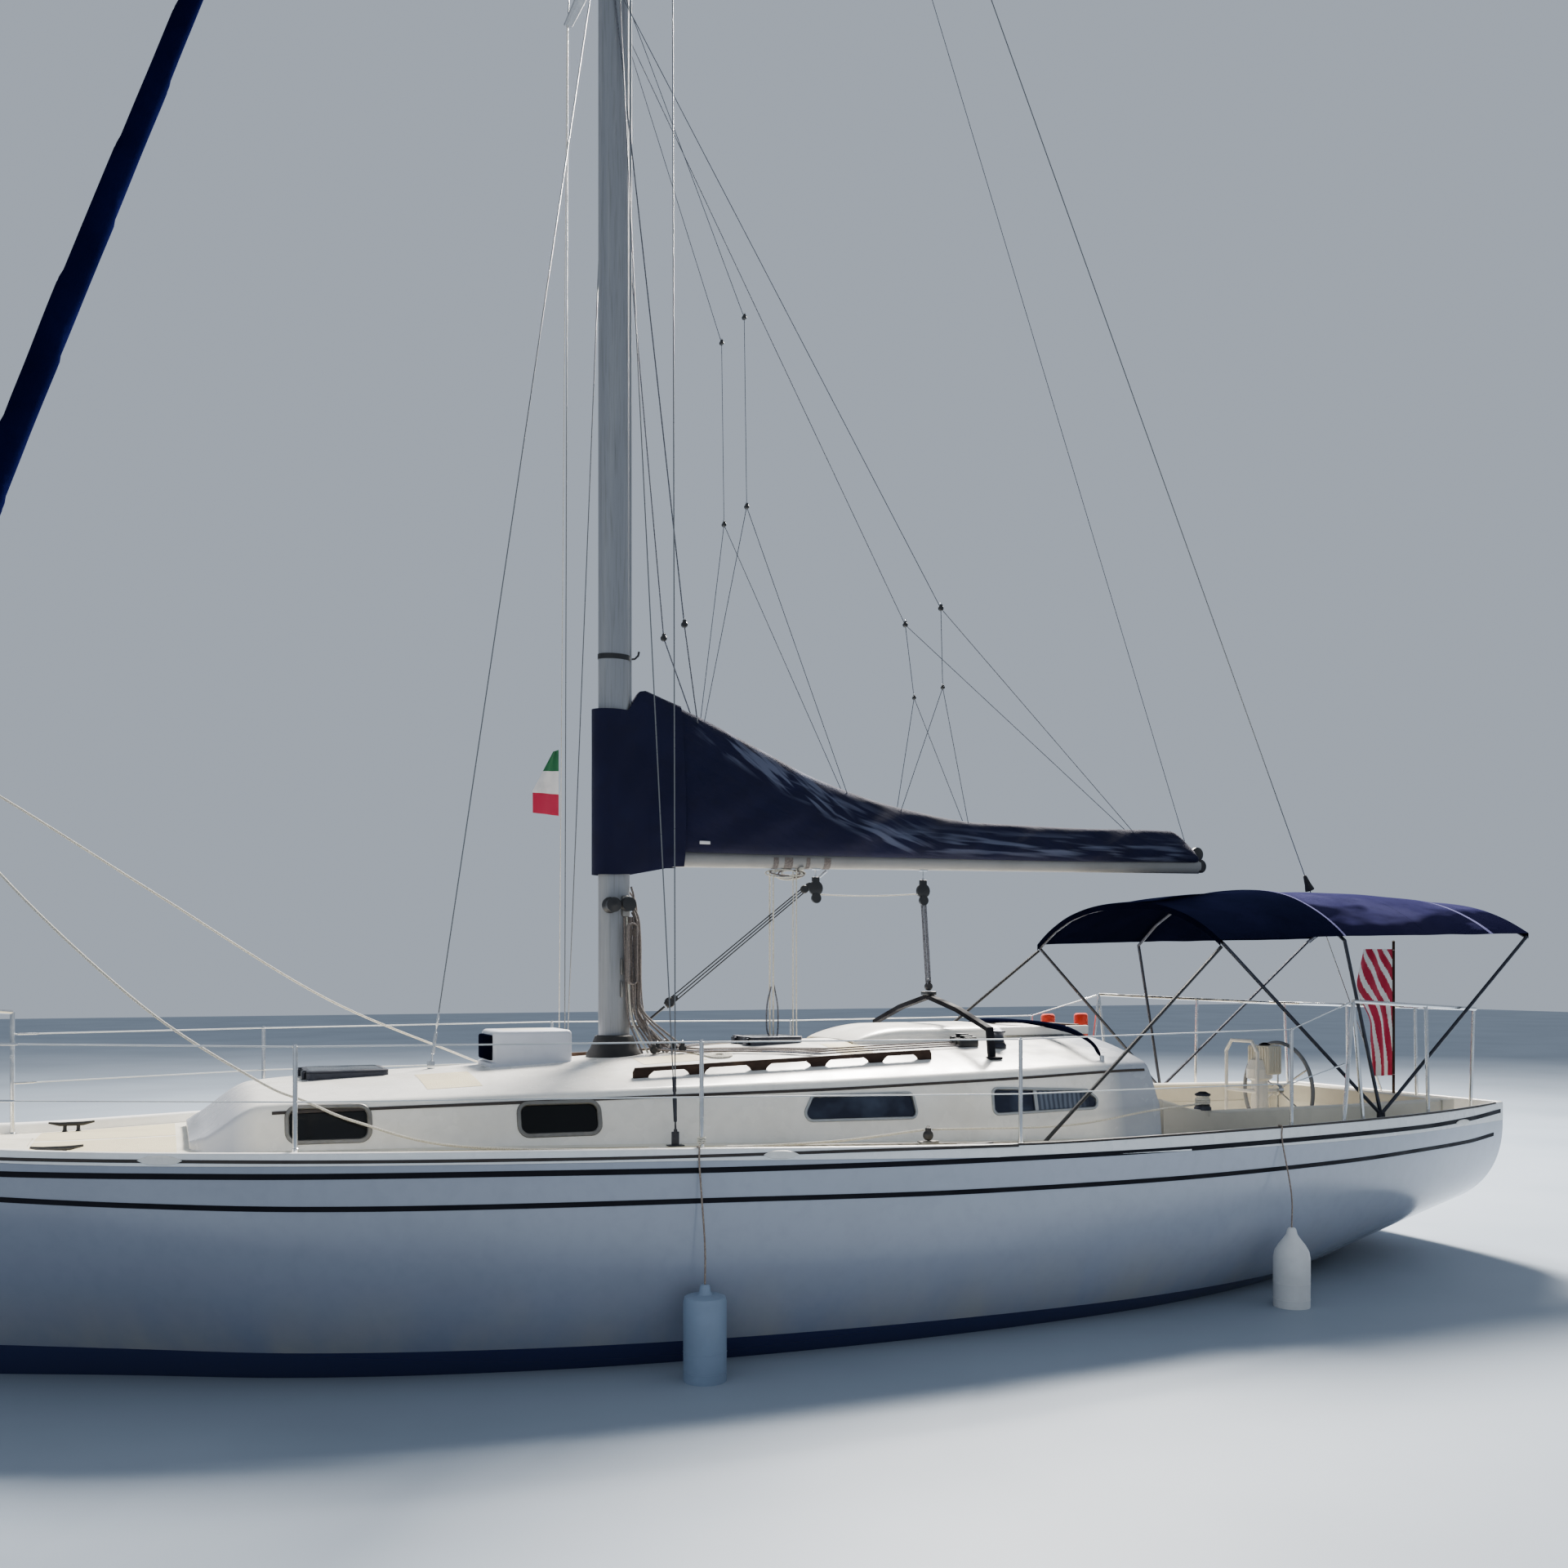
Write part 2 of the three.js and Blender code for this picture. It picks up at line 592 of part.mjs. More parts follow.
function makeCompanionway() {
  const boards = roofBlock(14).subtract(roofBlock(34, { bottom: 880 }));
  const reach = COMPANIONWAY.halfWidth - GAP;
  const opening = box(COMPANIONWAY.aft - 60, -2232, -reach, reach, COMPANIONWAY.sill + GAP, 1671);
  piece('companionway_boards', boards.intersect(opening), 'teak');

  const { front, aft, halfWidth, top, shell } = SEA_HOOD;
  const rail = { inner: SLIDE.halfWidth + 0.5, outer: SLIDE.halfWidth + 34 };
  const cover = box(front, aft, -halfWidth, halfWidth, 1500, top);
  const garage = box(front - shell, aft - 10, -rail.inner, rail.inner, 1500, top - shell);
  const rails = Object.values(SIDES).map((side) => (
    box(aft + 20, SLIDE.aft, side * rail.inner, side * rail.outer, 1500, top - shell)
  ));
  piece('sea_hood', cut(join([cover, ...rails]), garage, roofTool), 'gelcoat');

  const group = groupAt(SLIDE.front, 0, SLIDE.bottom);
  const plate = box(0, SLIDE.aft - SLIDE.front, -SLIDE.halfWidth, SLIDE.halfWidth, 0, SLIDE.thickness);
  piece('companionway_slide', plate, 'gelcoat', group);
}

function makeDeckLids() {
  const hinge = { x: ANCHOR_LID.front + 2, z: 1217 };
  const lid = block.intersect(slab(anchorLidPlan(0), 1000, 1400))
    .subtract(hullBlock(-ANCHOR_LID.thickness));
  const lidMesh = piece('anchor_locker_lid', lid, 'deck', groupAt(hinge.x, 0, hinge.z));
  lidMesh.geometry.translate(-hinge.x, 0, -hinge.z);

  for (const [sideName, side] of Object.entries(SIDES)) {
    const axis = side * (LOCKER_LID.outer + 3);
    const group = groupAt(0, axis, SEAT_Z);
    const mesh = piece(
      `locker_lid_${sideName}`,
      lockerBox(side, 0, SEAT_Z - LOCKER_LID.thickness, SEAT_Z),
      'deck',
      group,
    );
    mesh.geometry.translate(0, -axis, -SEAT_Z);
  }
}

const COAMING = table(['x', 'inner', 'outer', 'top'], [
  [-2365, 1002, 1118, 1262],
  [-2600, 1000, 1120, 1190],
  [-2850, 992, 1118, 1166],
  [-4002, 964, 1085, 1158],
  [-5002, 824, 950, 1150],
]);
const WINCH = { x: -2720, y: 1060, base: 52, drum: 42, height: 120 };

function makeCockpit() {
  const sides = Object.values(SIDES).map((side) => loft(COAMING.map(({ x, inner, outer, top }) => [
    [inner, 900], [outer, 900], [outer - 14, top - 12], [outer - 30, top], [inner + 18, top],
    [inner + 4, top - 12],
  ].map(([y, z]) => [x, side * y, z]))));
  const across = box(-5115, -5001, -950, 950, 900, 1150);
  const winches = Object.values(SIDES).map((side) => {
    const geometry = turned([
      [0, -40], [WINCH.base, -40], [WINCH.base, 14], [WINCH.drum, 26], [WINCH.drum - 4, 70],
      [WINCH.drum + 6, 96], [20, WINCH.height], [0, WINCH.height],
    ], 14);
    geometry.translate(WINCH.x, side * WINCH.y, 1176);
    return solid(geometry);
  });
  piece('cockpit_coaming', join([...sides, across, ...winches]).subtract(deckTool), 'gelcoat');

  const post = turned([
    [0, WELL.floor + GAP], [120, WELL.floor + GAP], [120, 400], [PEDESTAL.radius, 430],
    [PEDESTAL.radius - 8, PEDESTAL.top], [95, PEDESTAL.top + 20], [98, PEDESTAL.top + 90],
    [70, PEDESTAL.top + 160], [0, PEDESTAL.top + 185],
  ]);
  post.translate(PEDESTAL.x, 0, 0);
  const guardX = PEDESTAL.x + 175;
  const guard = sweep([
    [guardX, -170, WELL.floor + GAP], [guardX, -170, 1480], [guardX, -110, 1560],
    [guardX, 110, 1560], [guardX, 170, 1480], [guardX, 170, WELL.floor + GAP],
  ], 13);
  const crossbar = rods([[guardX, -170, 1180], [guardX, 170, 1180]], 11);
  const brace = rods([[guardX, 0, 1180], [PEDESTAL.x, 0, 1180]], 11);
  const axle = tube([[PEDESTAL.x, 0, WHEEL.z], [WHEEL.x - 20, 0, WHEEL.z]], WHEEL.axle, { sides: 12 });
  piece('pedestal', join([solid(post), guard, crossbar, brace, axle]), 'gelcoat');

  const wheelGroup = groupAt(WHEEL.x, 0, WHEEL.z);
  const rimProfile = circle(WHEEL.tube, 8).map(([a, b]) => [WHEEL.radius - WHEEL.tube + a, b]);
  const rim = turned([...rimProfile, rimProfile[0]], 36);
  const hub = turned([
    [WHEEL.bore, -22], [WHEEL.hub, -22], [WHEEL.hub, 22], [WHEEL.bore, 22], [WHEEL.bore, -22],
  ], 16);
  const spokes = steps(0, 2 * Math.PI, 6).slice(0, 6).map((a) => tube([
    [WHEEL.hub * 0.8 * Math.cos(a), WHEEL.hub * 0.8 * Math.sin(a), 0],
    [(WHEEL.radius - WHEEL.tube) * Math.cos(a), (WHEEL.radius - WHEEL.tube) * Math.sin(a), 0],
  ], 6, { sides: 6 }));
  const wheel = piece('steering_wheel', join([solid(rim), solid(hub), ...spokes]), 'stainless', wheelGroup);
  wheel.rotation.y = Math.PI / 2;
}

function makeDeckGear() {
  const unit = box(1286, 1803, -190, 190, 1400, 1740);
  piece('ventilation_box', unit.subtract(roofTool), 'gelcoat');

  const rail = { front: 1107, aft: -834, y: 780, feet: 6, foot: 45, under: 32, top: 58 };
  const reach = (rail.aft - rail.front) / (rail.feet - 1);
  const spread = rail.foot + 34;
  const footprint = [
    [spread, rail.under], [rail.foot, -40], [-rail.foot, -40], [-spread, rail.under],
  ];
  for (const [sideName, side] of Object.entries(SIDES)) {
    const under = [];
    for (let i = 0; i < rail.feet; i += 1) {
      const inward = { 0: -rail.foot, [rail.feet - 1]: rail.foot };
      const middle = rail.front + reach * i + (inward[i] ?? 0);
      for (const [dx, dz] of footprint) {
        const x = middle + dx;
        if (x <= rail.front + 1 && x >= rail.aft - 1) {
          under.push([x, roofHeight(x, rail.y) + dz]);
        }
      }
    }
    const top = steps(rail.aft + 12, rail.front - 12, 6)
      .map((x) => [x, roofHeight(x, rail.y) + rail.top]);
    const y = [side * rail.y - 14, side * rail.y + 14];
    const bar = slabAcross([...under, ...top], y[0], y[1]);
    piece(`handrail_${sideName}`, bar.subtract(roofTool), 'teak');
  }

  const arch = [[845, 1440], [800, 1735], [400, 1855], [0, 1935]];
  const outer = [...arch, ...arch.slice(0, -1).reverse().map(([y, z]) => [-y, z])];
  const inner = outer.map(([y, z]) => [y * 0.955, z - (Math.abs(y) > 840 ? 0 : 34)]).reverse();
  const traveller = slabAlong([...outer, ...inner], -1278, -1230);
  piece('traveller_arch', traveller.subtract(roofTool), 'black');
}

function makeMast() {
  const spar = slab(mastSection(0), MAST.foot, MAST.head);
  const crane = slabAcross([
    [FORESTAY.head[0] + 20, CRANE_BOTTOM], [FORESTAY.head[0] + 20, 14400], [1040, 14450], [840, 14450],
    [BACKSTAY.head[0] - 25, 14410], [BACKSTAY.head[0] - 25, CRANE_BOTTOM],
  ], -35, 35);
  const bracket = join([
    box(GOOSENECK.x, MAST.x - MAST.halfLength + 12, -16, 16, GOOSENECK.z - 25, GOOSENECK.z + 25),
    drum(GOOSENECK.x, 0, GOOSENECK.z - 25, GOOSENECK.z + 25, 16),
    drum(GOOSENECK.x, 0, GOOSENECK.z - 52, GOOSENECK.z + 52, GOOSENECK.pin),
  ]);
  const tang = join([
    box(GOOSENECK.x, MAST.x - MAST.halfLength + 12, -14, 14, VANG.z - 34, VANG.z - 20),
    drum(GOOSENECK.x, 0, VANG.z - 34, VANG.z - 20, 15),
    drum(GOOSENECK.x, 0, VANG.z - 34, VANG.z + 24, VANG.pin),
  ]);
  const winch = turned([
    [0, 0], [58, 0], [58, 20], [44, 34], [42, 74], [52, 96], [18, 108], [0, 108],
  ], 14);
  winch.rotateX(-Math.PI / 2);
  winch.translate(MAST.x, MAST.halfWidth - 8, 2500);
  const spine = join([spar, crane, bracket, tang, solid(winch)]);
  piece('mast', spine.subtract(roofTool), 'spar');

  const arms = Object.values(SIDES).map((side) => loft([
    [MAST.halfWidth - 20, 55, 16], [SPREADER.reach * 0.5, 46, 13], [SPREADER.reach, 32, 10],
  ].map(([y, halfChord, halfThick]) => circle(1, 10).map(([a, b]) => [
    MAST.x + a * halfChord, side * y, SPREADER.z + 60 * (y / SPREADER.reach) + b * halfThick,
  ]))));
  const ring = slab(mastSection(14), SPREADER.z - 28, SPREADER.z + 28);
  piece('spreaders', join([ring, ...arms]).subtract(slab(mastSection(GAP), 8000, 9000)), 'spar');
}

function stay(from, to, radius = STAY_RADIUS) {
  return tube([from, to], radius, { sides: 6 });
}

function makeRigging() {
  const mastRoom = slab(mastSection(GAP), MAST.foot, MAST.head + 20);
  for (const [sideName, side] of Object.entries(SIDES)) {
    const foot = [CHAINPLATE.x, side * CHAINPLATE.y, CHAINPLATE.top - 20];
    const tip = [MAST.x, side * (SPREADER.reach + 2 * GAP + STAY_RADIUS + 2), SPREADER.z + 60];
    const plate = box(
      CHAINPLATE.x - 22, CHAINPLATE.x + 22, side * CHAINPLATE.y - 8, side * CHAINPLATE.y + 8,
      1050, CHAINPLATE.top,
    );
    const cap = rods([foot, tip, [MAST.x, side * (MAST.halfWidth - 8), 14340]], STAY_RADIUS, 6);
    const lower = stay(foot, [MAST.x, side * (MAST.halfWidth - 8), SPREADER.z - 90]);
    const whole = cut(join([plate, cap, lower]), deckTool, mastRoom);
    piece(`shrouds_${sideName}`, whole, 'stainless');
  }

  const head = new THREE.Vector3(...FORESTAY.head);
  const foot = new THREE.Vector3(...FORESTAY.foot);
  const length = head.distanceTo(foot);
  const group = groupAt(...FORESTAY.foot);
  group.quaternion.setFromUnitVectors(new THREE.Vector3(0, 0, 1), head.sub(foot).normalize());
  const rod = 8;
  piece('forestay', solid(turned([
    [0, 0], [14, 0], [14, 60], [10, 70], [10, 230], [20, 250], [85, 300], [85, 308], [42, 314],
    [42, 384], [85, 390], [85, 398], [26, 430], [rod, 440], [rod, length - 60], [12, length - 50],
    [12, length - 26], [0, length - 26],
  ], 16)), 'stainless', group);
  const roll = [
    [rod + GAP, 460], [46, 470], [84, 900], [96, 1700], [94, 3200], [86, 5600], [72, 8200],
    [54, 10800], [34, length - 560], [rod + GAP, length - 540], [rod + GAP, 460],
  ];
  piece('furled_headsail', solid(turned(roll, 14)), 'canvas', group);

  piece('backstay', cut(join([
    stay(BACKSTAY.foot, BACKSTAY.head),
    slabAcross([[-5453, 1000], [-5447, 1000], [-5409, 1090], [-5437, 1090], [-5453, 1062]], -9, 9),
  ]), deckTool, box(700, 1000, -50, 50, CRANE_BOTTOM - GAP, 14500)), 'stainless');
  piece('baby_stay', cut(join([
    stay(BABY_STAY.foot, BABY_STAY.head),
    box(BABY_STAY.foot[0] - 22, BABY_STAY.foot[0] + 22, -9, 9, 1450, 1560),
  ]), roofTool, mastRoom), 'stainless');
}

// Sail cover along the boom: place behind the gooseneck, bottom, top and greatest half width
const COVER = table(['x', 'bottom', 'top', 'half'], [
  [74, 58, 1030, 20],
  [60, 58, 1040, 48],
  [0, 58, 1046, 76],
  [-150, 44, 990, 100],
  [-370, 34, 907, 126],
  [-800, 36, 722, 140],
  [-1188, 42, 559, 136],
  [-1800, 52, 400, 120],
  [-2443, 62, 323, 104],
  [-3200, 76, 318, 92],
  [-4061, 96, 332, 80],
  [-4303, 100, 180, 60],
]);

function boomTube(grow) {
  return loft([0, 1].map((end) => {
    const x = end ? -BOOM.length + 10 : -60;
    const middle = 4 + end * BOOM.rise;
    return steps(0, 2 * Math.PI, 12).slice(0, 12).map((a) => [
      x, (BOOM.halfWidth + grow) * Math.cos(a), middle + (BOOM.halfHeight + grow) * Math.sin(a),
    ]);
  }));
}

function makeBoom() {
  const group = groupAt(GOOSENECK.x, 0, GOOSENECK.z);
  const lug = [[-78, -30], [0, -32], [26, -18], [32, 0], [26, 18], [0, 32], [-78, 30]];
  const lugs = [slab(lug, 31, 47), slab(lug, -47, -31), box(-80, -40, -30, 30, -47, 47)];
  const pinHole = drum(0, 0, -80, 80, GOOSENECK.pin + GOOSENECK.clearance);
  const sheave = turned([[0, -22], [50, -22], [50, 22], [0, 22]], 16);
  sheave.rotateX(Math.PI / 2);
  sheave.translate(-BOOM.length, 0, 4 + BOOM.rise);
  const spar = join([boomTube(0), ...lugs, solid(sheave)]).subtract(pinHole);
  piece('boom', spar, 'boomWhite', group);

  const cover = loft(COVER.map(({ x, bottom, top, half }) => {
    const height = top - bottom;
    const low = Math.min(54, half * 0.9);
    const ring = [
      [low, bottom], [half * 0.92, bottom + height * 0.16], [half, bottom + height * 0.34],
      [half * 0.78, bottom + height * 0.62], [half * 0.44, bottom + height * 0.88],
      [half * 0.14, top],
    ];
    const back = ring.slice().reverse().map(([y, z]) => [-y, z]);
    return [...ring, ...back].map(([y, z]) => [x, y, z]);
  }));
  piece('boom_cover', cut(cover, boomTube(1.5)), 'canvas', group);

  const top = [-VANG.reach, 0, -24];
  const eyeZ = VANG.z - GOOSENECK.z;
  const low = [-20, 0, eyeZ + 15];
  const eye = drum(0, 0, eyeZ - 14, eyeZ + 14, 24);
  const eyeHole = drum(0, 0, eyeZ - 40, eyeZ + 60, VANG.pin + GOOSENECK.clearance);
  const rodPart = tube([low, top], VANG.radius, { sides: 10 });
  const vang = cut(join([rodPart, eye]), eyeHole, boomTube(GAP));
  piece('vang', largest(vang), 'black', group);

  const collar = slab(steps(0, 2 * Math.PI, 20).slice(0, 20).map((a) => [
    MAST.x + 14 + (MAST.halfLength + 32) * Math.cos(a), (MAST.halfWidth + 24) * Math.sin(a),
  ]), 2690, 3716);
  const slot = box(700, MAST.x, -26, 26, 2600, GOOSENECK.z + 60);
  const flat = box(600, 868, -200, 200, 2600, 3800);
  piece('mast_cover', cut(collar, slab(mastSection(0.5), 2600, 3800), slot, flat), 'canvas');
}

function mirrored(points) {
  return [...points, ...points.slice().reverse().filter(([, y]) => y !== 0).map(([x, y, z]) => [x, -y, z])];
}

function deckHeight(x, y) {
  const at = lookup(STATIONS, x);
  return at.sheer + at.beam * DECK_CAMBER * (1 - (y / at.beam) ** 2);
}

const STANCHIONS = table(['x', 'y', 'top'], [
  [2970, 1224, 1735],
  [980, 1570, 1735],
  [-940, 1633, 1715],
  [-3070, 1495, 1730],
]);
const PULPIT = { aft: [4350, 585, 1860], fore: [5060, 205, 1930], bow: [5540, 0, 1960] };
const PUSHPIT = { fore: [-3680, 1405, 1890], aft: [-5200, 1060, 1815], corner: [-5380, 880, 1810] };

function makeGuardRails() {
  const tubeRadius = 13;
  const pulpitRail = tube([
    PULPIT.aft, PULPIT.fore, [5430, 95, 1955], PULPIT.bow,
    [5430, -95, 1955], [5060, -205, 1930], [4350, -585, 1860],
  ], tubeRadius, { pieces: 18 });
  const pulpitLegs = Object.values(SIDES).flatMap((side) => [
    rods([[4350, side * 585, 1100], [4350, side * 585, 1860]], tubeRadius),
    rods([[4980, side * 215, 1150], [5060, side * 205, 1925]], tubeRadius),
  ]);
  piece('pulpit', join([pulpitRail, ...pulpitLegs]).subtract(deckTool), 'stainless');

  const pushpitRail = sweep(mirrored([PUSHPIT.fore, PUSHPIT.aft, PUSHPIT.corner]), tubeRadius);
  const pushpitLegs = Object.values(SIDES).flatMap((side) => table(['x0', 'y0', 'x1', 'y1', 'z1'], [
    [-3560, 1425, -3680, 1405, 1885],
    [-3800, 1395, -3680, 1405, 1885],
    [-4550, 1235, -4550, 1208, 1848],
    [-5300, 925, -5290, 970, 1812],
    [-5400, 350, -5380, 350, 1810],
  ]).map(({ x0, y0, x1, y1, z1 }) => rods([[x0, side * y0, 900], [x1, side * y1, z1]], tubeRadius)));
  piece('pushpit', join([pushpitRail, ...pushpitLegs]).subtract(deckTool), 'stainless');

  for (const [sideName, side] of Object.entries(SIDES)) {
    const posts = STANCHIONS.map(({ x, y, top }) => join([
      rods([[x, side * y, 1000], [x, side * y, top]], 12),
      drum(x, side * y, 1000, deckHeight(x, y) + 14, 18, 10),
    ]));
    const ends = {
      fore: [PULPIT.aft[0] - 14, side * PULPIT.aft[1] + side * 2, 1735],
      aft: [PUSHPIT.fore[0] + 18, side * PUSHPIT.fore[1], 1885],
    };
    const wire = rods([
      ends.fore, ...STANCHIONS.map(({ x, y, top }) => [x, side * y, top - 12]), ends.aft,
    ], 4, 6);
    piece(`lifelines_${sideName}`, join([...posts, wire]).subtract(deckTool), 'stainless');
  }

  const plate = box(5340, 5545, -34, 34, RAIL.bowTop + GAP, 1352);
  const cheeks = [-30, 30].map((y) => box(5500, 5600, y - 4, y + 4, RAIL.bowTop + GAP, 1390));
  const roller = turned([[0, -27], [24, -27], [24, 27], [0, 27]], 12);
  roller.rotateX(Math.PI / 2);
  roller.translate(5578, 0, 1372);
  piece('stem_fitting', join([plate, ...cheeks, solid(roller)]), 'stainless');
}

// Canopy over the cockpit: crest and edge heights, and half width
const CANOPY = table(['x', 'crest', 'edge', 'half'], [
  [-2850, 2590, 2305, 1080],
  [-3300, 2665, 2318, 1110],
  [-3880, 2705, 2335, 1130],
  [-4600, 2712, 2350, 1130],
  [-5200, 2690, 2362, 1120],
  [-5700, 2640, 2375, 1100],
]);
const CANOPY_BELLY = 2.6;
const BIMINI_PIVOT = { x: -4150, y: 1190 };
const CANOPY_X = { fore: [-2850, -3300, -3880, -4660], aft: [-4660, -5200, -5700] };
const BACKSTAY_SLOT = 26;

function canopyLine(at, drop, count) {
  return steps(-1, 1, count).map((part) => [
    part * at.half, at.edge + (at.crest - at.edge) * (1 - Math.abs(part) ** CANOPY_BELLY) - drop,
  ]);
}

function makeBimini() {
  const thickness = 18;
  const across = 10;
  const seam = CANOPY_X.aft[0];
  const slot = drum(seam, 0, 2500, 2900, BACKSTAY_SLOT, 8);
  const zip = box(seam - GAP / 2, seam + GAP / 2, -1500, 1500, 2200, 2900);
  for (const [panel, stations] of Object.entries(CANOPY_X)) {
    const rings = stations.map((x) => {
      const at = lookup(CANOPY, x);
      const top = canopyLine(at, 0, across);
      const under = canopyLine(at, thickness, across).reverse();
      return [...top, ...under].map(([y, z]) => [x, y, z]);
    });
    piece(`bimini_canopy_${panel}`, cut(loft(rings, true), slot, zip), 'canvas');
  }

  const radius = 12.5;
  const drop = thickness + 16.1;
  const bows = [-2875, -3880, -5672].map((x) => {
    const line = canopyLine(lookup(CANOPY, x), drop, across).map(([y, z]) => [x, y, z]);
    const pivots = [-1, 1].map((side) => [BIMINI_PIVOT.x, side * BIMINI_PIVOT.y, 1100]);
    return sweep([pivots[0], ...line, pivots[1]], radius);
  });
  const feet = Object.values(SIDES).map((side) => (
    drum(BIMINI_PIVOT.x, side * BIMINI_PIVOT.y, 950, 1115, 28, 10)
  ));
  const frame = join([...bows, ...feet]).subtract(deckTool);
  piece('bimini_frame', frame, 'stainless');
  for (const [sideName, side] of Object.entries(SIDES)) {
    const strut = tube([[-1260, side * 1300, 1000], [-2862, side * 1074, 2252]], radius);
    piece(`bimini_strut_${sideName}`, strut.subtract(deckTool), 'black');
  }
}

function makeDressing() {
  for (const [name, x] of [['fender_midships', 1020], ['fender_quarter', -2900]]) {
    const { beam, sheer, rail } = lookup(STATIONS, x);
    const y = beam + 96;
    const profile = turned([
      [0, -190], [30, -185], [86, -150], [110, -100], [112, 380], [90, 430], [36, 462], [22, 490],
      [0, 492],
    ], 14);
    profile.translate(x, y, 0);
    const over = sheer + rail + 3.6;
    const line = rods([[x, y, 480], [x, beam + 15, over], [x, beam - 20, over + 2]], 5, 6);
    piece(name, join([solid(profile), line]), 'fender');
  }

  const staff = { x: -5335, y: 180, radius: 11 };
  const staffRod = tube([[staff.x, staff.y, 900], [staff.x, staff.y, 2330]], staff.radius, { sides: 10 });
  piece('flag_staff', staffRod.subtract(deckTool), 'teak');
  const hoist = staff.x + staff.radius + GAP;
  piece('ensign', box(hoist, hoist + 389, staff.y - 12, staff.y + 12, 1260, 2270), 'flag');

  const halyard = tube([[1035.3, -1173, 1080], [1003, -1062, 8645]], 3, { sides: 6 });
  piece('flag_halyard', halyard.subtract(deckTool), 'gelcoat');
  const flag = { x: 1029.9, y: -1138 };
  piece('courtesy_flag', box(flag.x, flag.x + 198, flag.y - 8, flag.y + 8, 3130, 3640), 'flag');

  const buoy = { x: -3330, y: -1398, z: 1490, outer: 250, inner: 120, rim: 255, turn: 0.15 };
  const arc = (radius) => steps(Math.PI, 2 * Math.PI, 10)
    .map((a) => [radius * Math.cos(a), radius * Math.sin(a)]);
  const horseshoe = [
    [-buoy.outer, buoy.rim], ...arc(buoy.outer), [buoy.outer, buoy.rim],
    [buoy.inner, buoy.rim], ...arc(buoy.inner).reverse(), [-buoy.inner, buoy.rim],
  ];
  const wireTop = 1834;
  const strap = box(-200, -170, -5, 5, buoy.rim - 20, wireTop - buoy.z);
  const ring = piece(
    'horseshoe_buoy',
    join([slabAcross(horseshoe, -45, 45), strap]),
    'red',
    groupAt(buoy.x, buoy.y, buoy.z),
  );
  ring.rotation.z = buoy.turn;
}

makeHull();
makeKeel();
makeUnderwaterGear();
makeRudder();
makeEngine();
makeToeRail();
makeCoachroof();
makeCompanionway();
makeDeckLids();
makeCockpit();
makeDeckGear();
makeMast();
makeRigging();
makeBoom();
makeGuardRails();
makeBimini();
makeDressing();

export default yacht;
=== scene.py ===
"""Looks for the sailing yacht. Metres, +X forward, +Y to port, +Z up, waterline at Z 0."""
import math
from math import cos, pi, sin

import bmesh
import bpy
from mathutils import Matrix, Vector, noise


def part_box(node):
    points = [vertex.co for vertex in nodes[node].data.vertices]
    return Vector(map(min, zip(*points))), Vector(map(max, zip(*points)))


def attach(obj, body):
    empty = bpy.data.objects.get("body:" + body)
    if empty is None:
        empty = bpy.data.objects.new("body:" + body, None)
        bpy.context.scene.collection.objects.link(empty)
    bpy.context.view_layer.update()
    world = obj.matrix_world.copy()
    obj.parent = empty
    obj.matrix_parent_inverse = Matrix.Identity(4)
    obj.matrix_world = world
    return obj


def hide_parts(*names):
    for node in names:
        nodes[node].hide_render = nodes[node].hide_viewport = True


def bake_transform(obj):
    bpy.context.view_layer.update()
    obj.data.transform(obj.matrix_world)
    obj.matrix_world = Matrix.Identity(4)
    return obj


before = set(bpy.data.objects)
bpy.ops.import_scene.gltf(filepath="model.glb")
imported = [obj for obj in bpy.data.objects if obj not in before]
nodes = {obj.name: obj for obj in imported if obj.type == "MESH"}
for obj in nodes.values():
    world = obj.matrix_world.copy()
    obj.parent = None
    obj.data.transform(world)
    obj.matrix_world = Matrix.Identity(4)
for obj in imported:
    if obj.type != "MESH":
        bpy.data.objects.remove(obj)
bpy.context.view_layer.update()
SIDES = {"port": 1, "starboard": -1}
ACROSS = (0, 1, 0)
UP = (0, 0, 1)


def make_camera():
    data = bpy.data.cameras.new("camera")
    data.sensor_fit = "HORIZONTAL"
    data.sensor_width = 36
    data.lens = 32.75
    data.shift_y = 0.1182
    data.clip_end = 400
    camera = bpy.data.objects.new("camera", data)
    bpy.context.scene.collection.objects.link(camera)
    yaw = 0.409546
    facing = Vector((-sin(yaw), -cos(yaw), 0))
    camera.location = (3.556, 8.587, 2.103)
    camera.rotation_euler = facing.to_track_quat("-Z", "Y").to_euler()
    bpy.context.scene.camera = camera


make_camera()

